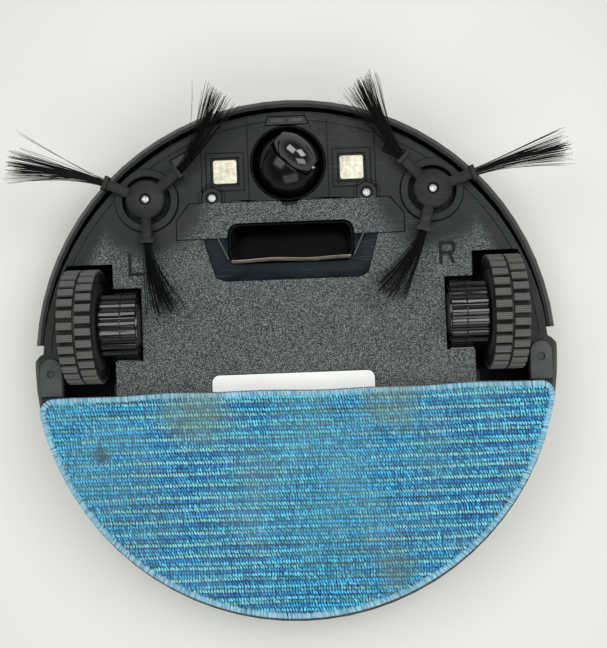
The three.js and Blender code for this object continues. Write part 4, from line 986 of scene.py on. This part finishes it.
def bendCopies(name, strand, rings, paths, widths, flat=1.0):
    # one copy of the strand bent along each path; paths are (count, rings, 3) and widths (count, rings)
    corners = np.array([v.co for v in strand.data.vertices])
    ringOf = np.rint(corners[:, 2] * (rings - 1)).astype(int)
    along = np.gradient(paths, axis=1)
    along /= np.linalg.norm(along, axis=2, keepdims=True)
    nearlyUp = np.array((0.013, 0.021, 1.0))  # leans a little, so no strand runs along it
    across = np.cross(along, nearlyUp)
    across /= np.linalg.norm(across, axis=2, keepdims=True)
    upward = np.cross(across, along)
    wide = widths[:, ringOf, None]
    points = (paths[:, ringOf] + across[:, ringOf] * corners[None, :, 0, None] * wide
              + upward[:, ringOf] * corners[None, :, 1, None] * wide * flat)
    count, size = len(paths), len(corners)
    # the bend mirrors the strand, so its faces are turned round again
    faces = [tuple(face.vertices)[::-1] for face in strand.data.polygons]
    allFaces = [tuple(index + copy * size for index in face) for copy in range(count) for face in faces]
    mesh = bpy.data.meshes.new(name)
    mesh.from_pydata(points.reshape(-1, 3).tolist(), [], allFaces)
    return newObject(name, mesh), size


def bristleTuft(name, centre, arm, tip, reach, standsFor):
    # nylon strands that leave the arm straight, bend a little at their root and fan out to the tip
    look = brushLook
    count, rings = look["strands"], look["rings"]
    share = np.linspace(0, 1, rings)[None, :, None]
    armWay, tipWay = (np.array((math.cos(math.radians(a)), math.sin(math.radians(a)))) for a in (arm, tip))
    across = np.array((-tipWay[1], tipWay[0]))
    most = look["fanMost"]
    offset = chance.normal(0, 1, (count, 1)).clip(-most, most)
    strays = chance.random((count, 1)) < look["stray"]
    stray = strays * chance.normal(0, look["strayFan"], (count, 1))
    middle = np.array(centre[:2])
    root = middle + armWay * look["rootRadius"] + across * offset * look["rootHalf"] / most
    length = (reach - look["rootRadius"]) * chance.uniform(*look["lengthVaries"], (count, 1))
    end = middle + tipWay * (reach + length) + across * (offset * look["fan"] + stray)
    bend = root + armWay * (reach - look["rootRadius"]) * look["stiffness"]
    root, bend, end = (place[:, None, :] for place in (root, bend, end))
    flat = root * (1 - share) ** 2 + bend * 2 * share * (1 - share) + end * share ** 2
    wander = chance.normal(0, look["wander"], (count, 1, 1)) * share ** 2
    flat = flat + across * wander * np.sin(share * 4 + chance.uniform(0, 6, (count, 1, 1)))
    spread = look["rootVaries"]
    start = look["rootHeight"] + chance.uniform(-spread, spread, (count, 1, 1))
    height = start + (chance.uniform(*look["tipHeights"], (count, 1, 1)) - start) * share ** look["droop"]
    paths = np.concatenate([flat, height], 2) * mm
    widths = np.full((count, rings), look["strandRadius"] * mm)
    widths[:, -1] *= look["strandTip"]
    tuft, _ = bendCopies(name, bristleStrand, rings, paths, widths)
    return finishPiece(tuft, standsFor, smooth=80)


bristleStrand = unitStrand("bristleStrand", 3, brushLook["rings"])
for side in sides:
    brushHub(side)
    centre = middleOf(side + "_brush_screw")
    for number, (arm, tip, reach) in enumerate(brushLook["arms"][side], 1):
        bristleTuft(f"{side}Bristles{number}", centre, arm, tip, reach, f"{side}_brush_tuft_{number}")
bpy.data.objects.remove(bristleStrand)
print("side brushes done")

# drive wheels

wheelLook = {"lugs": 30, "root": 29.8, "outer": 33.0, "bore": 26.0, "half": 9.5, "bead": (0.6, 0.4),
             "shoulder": (1.2, 1), "groove": 0.7, "grooveHigh": 1.3, "grooveFoot": 1.0, "grooveTop": 0.5,
             "lugHalf": 2.0, "lugFlare": 0.2, "lugSunk": 0.5, "lugCorner": ((0, 0.5), (0.3, 0.05)),
             "lugEnd": 0.15, "ridge": 0.55, "ridges": (-1.05, 0.05, 1.1), "ridgeSides": (0.2, 0.25),
             "drumRibs": 18, "drumValley": 0.1, "drumRoot": 19.35, "drumRib": 20.3, "drumBore": 17.5,
             "drumInner": -31.7, "drumOuter": -11.0, "drumEdge": 0.25, "seamAt": 0.4, "seamFloor": 0.1,
             "seamWide": 0.5,
             "lugEdge": 0.22, "gearboxEdge": 0.3, "motorEdge": 0.3, "hubEdge": 0.4, "housingEdge": 0.4}


def makeTyre():
    look = wheelLook
    centre = middleOf("right_tyre")
    half, root, bore, rise = look["half"], look["root"], look["bore"], look["root"] + look["grooveHigh"]
    (beadHigh, beadIn), (shoulderHigh, shoulderIn) = look["bead"], look["shoulder"]
    # one side from the bore out to the groove; the other mirrors it
    outwards = [(bore, half - beadIn), (bore + beadHigh, half), (root - shoulderHigh, half),
                (root, half - shoulderIn), (root, look["grooveFoot"]), (rise, look["grooveTop"])]
    inner = [(radius, -along) for radius, along in outwards]
    carcass = turnProfile("carcass", inner + outwards[::-1] + inner[:1], centre, "X", 90)
    x, y, z = centre
    wide, top, (before, after) = look["lugHalf"], look["outer"], look["ridgeSides"]
    side = [(wide + look["lugFlare"], root - look["lugSunk"])]
    side += [(wide - inwards, top - down) for inwards, down in look["lugCorner"]]
    section = [(-across, up) for across, up in side]
    for ridge in look["ridges"]:
        section += [(ridge - before, top), (ridge, top - look["ridge"]), (ridge + after, top)]
    section += side[::-1]
    lug = raiseOutline("lug", [(x + look["groove"], y + across, z + up) for across, up in section],
                       (half - look["groove"] - look["lugEnd"], 0, 0))
    addBevel(lug, look["lugEdge"], 1, 60)
    applyAll(lug)
    pitch = 360 / look["lugs"]
    mirrored = Matrix.Translation((2 * x * mm, 0, 0)) @ mirrorX
    other = twinOf(lug, "lug", mirrored @ turnAbout(pitch / 2, centre, "X"))
    pair = joinPieces("lugs", [lug, other])
    around = [twinOf(pair, "lugs", turnAbout(pitch * n, centre, "X")) for n in range(1, look["lugs"])]
    tyre = joinPieces("rightTyre", [carcass, pair] + around)
    return finishPiece(tyre, "right_tyre", smooth=40)


def drumSleeve():
    # the ribbed sleeve round the gearbox drum, with a thin seam round it
    look = wheelLook
    x, y, z = middleOf("right_tyre")
    start = (x + look["drumInner"], y, z)
    count, points = look["drumRibs"], []
    for n in range(count):
        for share in np.linspace(0, 1, 8):
            radius = look["drumRib"] - (look["drumRib"] - look["drumRoot"]) * (2 * share - 1) ** 2
            angle = 2 * math.pi * (n + share * (1 - look["drumValley"])) / count
            points.append((start[0], y + radius * math.cos(angle), z + radius * math.sin(angle)))
    length = look["drumOuter"] - look["drumInner"]
    sleeve = raiseOutline("sleeve", points, (length, 0, 0))
    at = length * look["seamAt"]
    floor = look["drumRoot"] + look["seamFloor"]
    groove = ringSection(floor, look["drumRib"] + 2 * cutClear, at, at + look["seamWide"])
    carve(sleeve, [turnProfile("seam", groove, start, "X", 48)])
    bore = rodSection(look["drumBore"], -cutClear, length + cutClear)
    carve(sleeve, [turnProfile("bore", bore, start, "X", 48)])
    addBevel(sleeve, look["drumEdge"], angle=24)
    applyAll(sleeve)
    return sleeve


tyre = makeTyre()
gearbox = weldedCopy("right_gearbox", "rightGearbox")
addBevel(gearbox, wheelLook["gearboxEdge"], clamp=False)
applyAll(gearbox)
gearbox = joinPieces("rightGearbox", [gearbox, drumSleeve()])
finishPiece(gearbox, "right_gearbox", gearboxBlack, 20)
finishPiece(twinOf(tyre, "leftTyre", mirrorX), "left_tyre", smooth=40)
finishPiece(twinOf(gearbox, "leftGearbox", mirrorX), "left_gearbox", gearboxBlack, 20)
for side in sides:
    softenedCopy(side + "_brush_motor", side + "BrushMotor", wheelLook["motorEdge"],
                 finishes["grained_plastic"])
    softenedCopy(side + "_wheel_hub", side + "WheelHub", wheelLook["hubEdge"])
    softenedCopy(side + "_wheel_housing", side + "WheelHousing", wheelLook["housingEdge"])
print("drive wheels done")

# dustbin and its button

binEdges = (("dustbin", "dustbinTub", 0.4), ("dustbin_lid", "dustbinLid", 0.3),
            ("bin_release_button", "binKey", 0.3))
for node, name, width in binEdges:
    softenedCopy(node, name, width)
print("dustbin done")

# mop plate and cloth

mopLook = {
    "arcY": -2.5, "radius": 147.8, "front": 17.5, "corner": 7.0, "low": 18.0, "high": 23.8, "over": 0.1,
    "crest": 18.55, "root": 19.35, "padInset": 1.4, "padLow": 19.3, "padThin": 0.9, "voxel": 1.8,
    "quickVoxel": 3.6, "quality": 6, "pressure": 4.0, "tension": 30, "bending": 4, "puffSteps": 20,
    "cap": 1.3, "soften": 0.5, "softenTimes": 4, "fill": 0.3, "fibres": 2600.0, "patches": 16.0,
    "rowPitch": 2.2, "rowDrift": 0.2, "loopPitch": 1.58, "loopJitter": 0.1, "slant": 24,
    "slantVaries": 0.16, "loopInset": 3.0, "loopHalf": 0.54, "loopLength": 2.7, "loopRise": 1.25,
    "loopFlat": 0.85, "loopSunk": 0.25, "shadeWave": 0.3, "shadeVaries": 0.22, "edgeInset": 1.5,
    "bandWide": 3.2, "stitchPitch": 0.9, "stitchHalf": 0.5, "stitchFlat": 0.8, "stitchLean": 0.5,
    "stitchSlip": 0.12, "stitchOut": 1.3, "plateEdge": 0.4,
    # each yarn's darker and paler colour and how much pale fibre it shows; the rows take turns
    "yarns": {"Blue": (tone(0, 106, 180), tone(56, 192, 250), 0.4),
              "Sky": (tone(4, 126, 180), tone(94, 216, 250), 0.5),
              "Straw": (tone(38, 146, 172), tone(134, 216, 230), 0.5)},
    # the pad under the loops: dark blue as its own colour and as painted shade between the loops
    "groundAndShade": (tone(4, 38, 62), tone(6, 56, 86), 0.0),
    "edge": (tone(96, 158, 190), tone(156, 202, 220), 0.4),
    # how far each ring of an edge stitch lies in from the rim, how high it is, and how thick
    "stitchIn": (1.0, 0.72, 0.38, 0.02, -0.1, 0.08, 0.5),
    "stitchHigh": (19.4, 18.55, 18.35, 18.75, 20.6, 22.4, 23.2),
    "stitchThick": (0.7, 0.95, 1, 1, 1, 0.95, 0.7),
}


def clothFront(x):
    # the front edge waves a little
    return mopLook["front"] + 0.5 * np.sin(x * 0.035 + 0.6) + 0.3 * np.sin(x * 0.11)


def clothOutline(inset, steps=150):
    # points along the D from the right end of its front edge, round the back, to the start again
    look = mopLook
    radius, corner = look["radius"] - inset, look["corner"] - inset * 0.6
    front = look["front"] + inset
    rise = front + corner - look["arcY"]
    cornerX = math.sqrt((radius - corner) ** 2 - rise ** 2)
    tangent = math.atan2(rise, cornerX)
    points = []
    for share in np.linspace(0, 1, 16)[:-1]:
        angle = -math.pi / 2 + (tangent + math.pi / 2) * share
        points.append((cornerX + corner * math.cos(angle), front + corner + corner * math.sin(angle)))
    for share in np.linspace(0, 1, steps):
        angle = tangent + (math.pi - 2 * tangent) * share
        points.append((radius * math.cos(angle), look["arcY"] + radius * math.sin(angle)))
    for share in np.linspace(0, 1, 16)[1:]:
        angle = math.pi - tangent + (tangent + math.pi / 2) * share
        points.append((-cornerX + corner * math.cos(angle), front + corner + corner * math.sin(angle)))
    for share in np.linspace(0, 1, steps)[1:-1]:
        points.append((-cornerX + 2 * cornerX * share, front))
    points = np.array(points)
    fade = np.clip((look["front"] + 30 - points[:, 1]) / 30, 0, 1)
    points[:, 1] += fade * (clothFront(points[:, 0]) - look["front"])
    return points


def evenSteps(points, pitch):
    # the closed outline cut into even steps, with its outward direction at each
    closed = np.vstack([points, points[:1]])
    lengths = np.concatenate([[0], np.cumsum(np.linalg.norm(np.diff(closed, axis=0), axis=1))])
    count = int(lengths[-1] / pitch)
    at = np.linspace(0, lengths[-1], count, endpoint=False)
    places = np.stack([np.interp(at, lengths, closed[:, k]) for k in (0, 1)], 1)
    ahead = np.roll(places, -1, 0) - np.roll(places, 1, 0)
    ahead /= np.linalg.norm(ahead, axis=1, keepdims=True)
    return places, np.stack([ahead[:, 1], -ahead[:, 0]], 1)


def clothPad():
    # the CAD cloth remeshed and puffed up by a short cloth simulation
    look = mopLook
    pad = newObject("mopClothPad", nodes["mop_cloth"].data.copy())
    centre = Vector((0, middleOf("mop_cloth").y, (look["padLow"] + look["high"]) / 2))
    share = 1 - look["padInset"] / look["radius"]
    thick = (look["high"] - look["padLow"] - look["padThin"]) / (look["high"] - look["low"])
    cadCentre = Vector((0, centre.y, (look["low"] + look["high"]) / 2))
    pad.matrix_world = (Matrix.Translation(centre * mm) @ Matrix.Diagonal((share, share, thick, 1))
                        @ Matrix.Translation(-cadCentre * mm))
    applyAll(pad)
    remesh = pad.modifiers.new("even", "REMESH")
    remesh.mode = "VOXEL"
    remesh.voxel_size = look["voxel"] * mm
    applyAll(pad)
    before = np.array([v.co for v in pad.data.vertices])
    cloth = pad.modifiers.new("puff", "CLOTH")
    cloth.settings.use_pressure = True
    cloth.settings.uniform_pressure_force = look["pressure"]
    cloth.settings.effector_weights.gravity = 0
    cloth.settings.quality = look["quality"]
    cloth.settings.tension_stiffness = look["tension"]
    cloth.settings.bending_stiffness = look["bending"]
    for step in range(1, look["puffSteps"] + 1):
        bpy.context.scene.frame_set(step)
    evaluated = pad.evaluated_get(bpy.context.evaluated_depsgraph_get())
    after = np.array([v.co for v in evaluated.data.vertices])
    pad.modifiers.remove(cloth)
    bpy.context.scene.frame_set(1)
    moved = after - before
    size = np.linalg.norm(moved, axis=1, keepdims=True)
    moved *= np.minimum(1, look["cap"] * mm / np.maximum(size, 1e-9))
    before = before + moved
    before[:, 2] = before[:, 2].clip(look["padLow"] * mm, (look["high"] + look["over"]) * mm)
    pad.data.vertices.foreach_set("co", before.ravel())
    smooth = pad.modifiers.new("soften", "SMOOTH")
    smooth.factor, smooth.iterations = look["soften"], look["softenTimes"]
    applyAll(pad)
    finishPiece(pad, "mop_cloth", clothFinish("clothGroundAndShade", *look["groundAndShade"]), 80)
    return pad


# x, y and size in millimetres, how strong, and the colour
clothStains = (
    (-58, 29, 26, 0.4, tone(118, 130, 82)), (53, 26, 22, 0.38, tone(122, 130, 82)),
    (52, 120, 15, 0.4, tone(80, 96, 74)), (-25, 63, 22, 0.22, tone(96, 116, 98)),
    (-111, 50, 6, 0.7, tone(30, 50, 58)), (84, 58, 30, 0.16, tone(92, 124, 116)),
    (-96, 84, 34, 0.16, tone(92, 122, 112)), (12, 96, 40, 0.14, tone(96, 130, 118)),
)


def clothFinish(name, colour, second, paleness):
    # looped microfibre: yarn colour varies from loop to loop, with painted shade deep in the pile and in the
    # gaps between fibres, and stains laid over all
    material, tree, shader, place = newMaterial(name, Roughness=0.9, Sheen_Weight=0.25, Sheen_Roughness=0.5)
    loop = addNode(tree, "Attribute", attribute_name="yarnShade").outputs["Fac"]
    fibre = noiseOf(tree, place, mopLook["fibres"], 4.0, 0.7)
    wide = noiseOf(tree, place, mopLook["patches"], 4.0, 0.6)
    tint = mixColours(tree, remap(tree, loop, 0.1, 0.9), colour, second)
    # darker blue towards the pad behind the loops: painted shade deep in the pile
    high = addNode(tree, "SeparateXYZ", {0: place}).outputs[2]
    deep = remapMm(tree, high, mopLook["crest"], mopLook["root"], 0.0, 0.95)
    tint = mixColours(tree, deep, tint, tone(0, 44, 78))
    # paler patches, pale fibres and painted shade in the gaps: where each starts, where it is full, how
    # strong, its colour
    for noise, start, full, most, other in (
            (wide, 0.46, 0.72, 0.25, tone(96, 180, 206)), (fibre, 0.62, 0.75, paleness, tone(176, 214, 226)),
            (fibre, 0.46, 0.32, 0.7, tone(4, 40, 66))):
        tint = mixColours(tree, remap(tree, noise, start, full, 0.0, most), tint, other)
    for x, y, size, strength, stain in clothStains:
        inputs = {"Vector": place, "Centre": (x * mm, y * mm, 0), "Size": size * mm}
        mask = useGroup(tree, stainGroup, inputs)["Mask"]
        tint = mixColours(tree, times(tree, mask, strength), tint, stain)
    dust = useGroup(tree, dustGroup, {"Vector": place, "Amount": 0.4, "Patch": 30.0})
    tint = mixColours(tree, times(tree, dust["Mask"], 0.5), tint, tone(120, 138, 118))
    tree.links.new(tint, shader.inputs["Base Color"])
    tree.links.new(addBump(tree, fibre, 0.12), shader.inputs["Normal"])
    return material


def markYarn(piece, size, shades):
    shade = piece.data.attributes.new("yarnShade", "FLOAT", "POINT")
    shade.data.foreach_set("value", np.repeat(shades, size).astype(np.float32))


def clothLoops():
    # rows of slanted loops along X, in three yarn colours that take turns
    look = mopLook
    outline = clothOutline(look["loopInset"])
    names = list(look["yarns"])
    yarns = {name: [] for name in names}
    rows = np.arange(outline[:, 1].min() - 1, outline[:, 1].max(), look["rowPitch"])
    for number, rowY in enumerate(rows):
        drift = chance.uniform(-look["rowDrift"], look["rowDrift"])
        x = np.arange(-150, 150, look["loopPitch"]) + chance.uniform(0, 1)
        x = x + chance.normal(0, look["loopJitter"], len(x))
        y = rowY + drift + 0.45 * np.sin(x * 0.021 + 0.5) + 0.22 * np.sin(x * 0.09 + number * 0.7)
        y = y + chance.normal(0, look["loopJitter"], len(x))
        inside = insideOutline(outline, x, y)
        shade = 0.5 + look["shadeWave"] * np.sin(x * 0.04 + number * 2.1)
        shade = shade + chance.normal(0, look["shadeVaries"], len(x))
        row = np.stack([x[inside], y[inside], shade[inside].clip(0, 1)], 1)
        yarns[names[number % len(names)]].append(row)
    rings = 5
    strand = unitStrand("loop", 4, rings)
    made = []
    for yarn, places in yarns.items():
        places = np.concatenate(places)
        count = len(places)
        angle = np.radians(90 - look["slant"]) + chance.normal(0, look["slantVaries"], count)
        half = look["loopLength"] / 2 * chance.uniform(0.85, 1.12, count)
        rise = look["loopRise"] * chance.uniform(0.75, 1.1, count)
        share = np.linspace(-1, 1, rings)
        paths = np.empty((count, rings, 3))
        paths[:, :, 0] = places[:, 0, None] + np.cos(angle)[:, None] * half[:, None] * share
        paths[:, :, 1] = places[:, 1, None] + np.sin(angle)[:, None] * half[:, None] * share
        paths[:, :, 2] = look["padLow"] + look["loopSunk"] - rise[:, None] * (1 - share ** 2)
        widths = look["loopHalf"] * (0.62 + 0.38 * (1 - share ** 2)) * chance.uniform(0.85, 1.15, (count, 1))
        piece, size = bendCopies("mopLoops" + yarn, strand, rings, paths * mm, widths * mm, look["loopFlat"])
        markYarn(piece, size, places[:, 2])
        made.append(finishPiece(piece, "mop_cloth", clothFinish("cloth" + yarn, *look["yarns"][yarn]), 80))
    bpy.data.objects.remove(strand)
    return made


def insideOutline(outline, x, y):
    # crossing count of each point against the closed outline
    nextPoint = np.roll(outline, -1, 0)
    x0, y0, x1, y1 = outline[:, 0], outline[:, 1], nextPoint[:, 0], nextPoint[:, 1]
    spans = (y0[None, :] > y[:, None]) != (y1[None, :] > y[:, None])
    slope = (x1 - x0) / np.where(y1 == y0, 1e-9, y1 - y0)
    crossing = x0[None, :] + slope[None, :] * (y[:, None] - y0[None, :])
    return ((spans & (x[:, None] < crossing)).sum(1) % 2) == 1


def clothEdge():
    # overlocked edge: yarns wrapped over the rim from underneath to above
    look = mopLook
    rings = len(look["stitchIn"])
    strand = unitStrand("stitch", 5, rings)
    places, outward = evenSteps(clothOutline(look["edgeInset"]), look["stitchPitch"])
    count = len(places)
    wide = look["bandWide"] * chance.uniform(0.85, 1.12, count)
    slip = chance.normal(0, look["stitchSlip"], (count, 1))
    inwards = np.array(look["stitchIn"])
    along = np.stack([-outward[:, 1], outward[:, 0]], 1)
    paths = np.empty((count, rings, 3))
    for k in (0, 1):
        reach = look["stitchOut"] - inwards * wide[:, None]
        paths[:, :, k] = (places[:, k, None] + outward[:, k, None] * reach
                          + along[:, k, None] * (slip + look["stitchLean"] * inwards))
    paths[:, :, 2] = np.array(look["stitchHigh"]) + chance.normal(0, 0.08, (count, 1))
    widths = look["stitchHalf"] * np.array(look["stitchThick"]) * chance.uniform(0.9, 1.12, (count, 1))
    piece, size = bendCopies("mopEdgeStitches", strand, rings, paths * mm, widths * mm, look["stitchFlat"])
    markYarn(piece, size, chance.random(count))
    bpy.data.objects.remove(strand)
    return finishPiece(piece, "mop_cloth", clothFinish("clothEdge", *look["edge"]), 80)


clothPieces = [clothPad()] + clothLoops() + [clothEdge()]
for piece in clothPieces:
    # the lamps under the floor light the pad, so its blue isn't passed on to the paper
    piece.visible_diffuse = False
softenedCopy("mop_plate", "mopPlate", mopLook["plateEdge"])
print("mop done")

# the CAD pieces that show as they are, mostly inside

dressed = 0
for node, piece in nodes.items():
    if piece.hide_render:
        continue
    piece.data.materials.clear()
    piece.data.materials.append(finishes[slotOf[node]])
    dressed += 1
print("CAD pieces dressed:", dressed)

# floor, backdrop, lamps, camera

stageLook = {"floorReach": 1.4, "floorFade": (0.4, 1.35), "backReach": 0.36, "backFade": (0.24, 0.355),
             "backHeight": 0.0958, "slantFrom": 0.45, "slantTo": 0.75, "floor": tone(219, 220, 215),
             "floorSecond": tone(218, 220, 216), "worldColour": tone(250, 251, 248), "world": 0.42,
             "worldSeen": 0.8, "worldBelow": 0.12, "skyFrom": -0.85, "skyTo": -0.3}


def stageMaterial(name, fade, slants):
    # paper that shows on one side only and thins out with distance, the backdrop also when seen edge on
    material, tree, shader, place = newMaterial(name, Roughness=0.85)
    paper = noiseOf(tree, place, 3.0, 3.0)
    cloudy = remap(tree, paper, 0.35, 0.65, 0.0, 0.25)
    shade = mixColours(tree, cloudy, stageLook["floor"], stageLook["floorSecond"])
    tree.links.new(shade, shader.inputs["Base Color"])
    behind = addNode(tree, "NewGeometry").outputs["Backfacing"]
    away = addNode(tree, "VectorMath", {0: place}, operation="LENGTH").outputs["Value"]
    behind = larger(tree, behind, remap(tree, away, *fade, 0.0, 1.0, "SMOOTHSTEP"))
    if slants:
        facing = addNode(tree, "LayerWeight").outputs["Facing"]
        slant = remap(tree, facing, stageLook["slantFrom"], stageLook["slantTo"])
        behind = larger(tree, behind, slant)
    clear = addNode(tree, "BsdfTransparent").outputs[0]
    mix = addNode(tree, "MixShader", {0: behind, 1: shader.outputs[0], 2: clear}).outputs[0]
    tree.links.new(mix, tree.nodes["Material Output"].inputs["Surface"])
    return material


def stagePlane(name, height, reach, turn, material):
    deselectAll()
    bpy.ops.mesh.primitive_plane_add(size=2 * reach, location=(0, 0, height), rotation=(turn, 0, 0))
    plane = bpy.context.object
    plane.name = name
    applyAll(plane)
    plane.data.materials.append(material)
    plane.visible_diffuse = plane.visible_glossy = False
    plane.visible_transmission = plane.visible_shadow = False


stagePlane("floor", 0, stageLook["floorReach"], 0,
           stageMaterial("floorPaper", stageLook["floorFade"], False))
stagePlane("backdrop", stageLook["backHeight"], stageLook["backReach"], math.pi,
           stageMaterial("backdropPaper", stageLook["backFade"], True))

world = bpy.data.worlds.new("studio")
bpy.context.scene.world = world
world.use_nodes = True
air = world.node_tree
sky = air.nodes["Background"]
sky.inputs["Color"].default_value = stageLook["worldColour"]
path = addNode(air, "LightPath").outputs
seen = larger(air, larger(air, path["Is Camera Ray"], path["Is Glossy Ray"]), path["Is Transmission Ray"])
toward = addNode(air, "TexCoord").outputs["Generated"]
height = addNode(air, "SeparateXYZ", {0: toward}).outputs[2]
paler = remap(air, height, stageLook["skyFrom"], stageLook["skyTo"], stageLook["worldBelow"],
              stageLook["worldSeen"], "SMOOTHSTEP")
bright = times(air, seen, maths(air, "SUBTRACT", paler, stageLook["world"]))
air.links.new(plus(air, bright, stageLook["world"]), sky.inputs["Strength"])

# name: place, what it looks at, width, height, power
lamps = {
    "underKey": ((-0.36, -0.34, -1.15), (0, 0, 0.03), 0.72, 0.55, 6.0),
    "underWindow": ((0.4, -0.24, -1.1), (0, 0, 0.03), 0.56, 0.6, 6.2),
    "underSoft": ((0.12, 0.7, -1.05), (0, 0, 0.03), 0.9, 0.6, 4.8),
    "topKey": ((-0.38, -0.45, 1.6), (0, 0, 0.05), 0.8, 0.7, 11.5),
    "topFill": ((0.5, 0.1, 1.5), (0, 0, 0.05), 0.7, 0.7, 6.0),
    "topBack": ((-0.05, 0.55, 1.45), (0, 0, 0.05), 0.8, 0.5, 4.5),
}
for name, (place, target, wide, high, power) in lamps.items():
    data = bpy.data.lights.new(name, "AREA")
    data.shape = "RECTANGLE"
    data.size, data.size_y, data.energy = wide, high, power
    lamp = newObject(name, data)
    lamp.location = place
    lamp.rotation_euler = (Vector(target) - Vector(place)).to_track_quat("-Z", "Y").to_euler()
    lamp.visible_camera = False

# the camera looks up from underneath, with the bumper at the top
cameraLook = {"place": (0.0115, -0.0056, -0.560), "lens": 57.1, "roll": 2.2, "leanRight": -0.01123,
              "leanUp": 0.0235}
roll = math.radians(cameraLook["roll"])
right = Vector((math.cos(roll), math.sin(roll), 0))
upward = Vector((math.sin(roll), -math.cos(roll), 0))
ahead = (Vector((0, 0, 1)) + cameraLook["leanRight"] * right + cameraLook["leanUp"] * upward).normalized()
across = (right - right.dot(ahead) * ahead).normalized()
turned = Matrix((across, (-ahead).cross(across), -ahead)).transposed()
camera = newObject("camera", bpy.data.cameras.new("camera"))
camera.data.lens = cameraLook["lens"]
camera.data.sensor_width = 36.0
camera.data.clip_start = 0.01
camera.matrix_world = Matrix.Translation(cameraLook["place"]) @ turned.to_4x4()
bpy.context.scene.camera = camera
bpy.context.scene.view_settings.view_transform = "Standard"
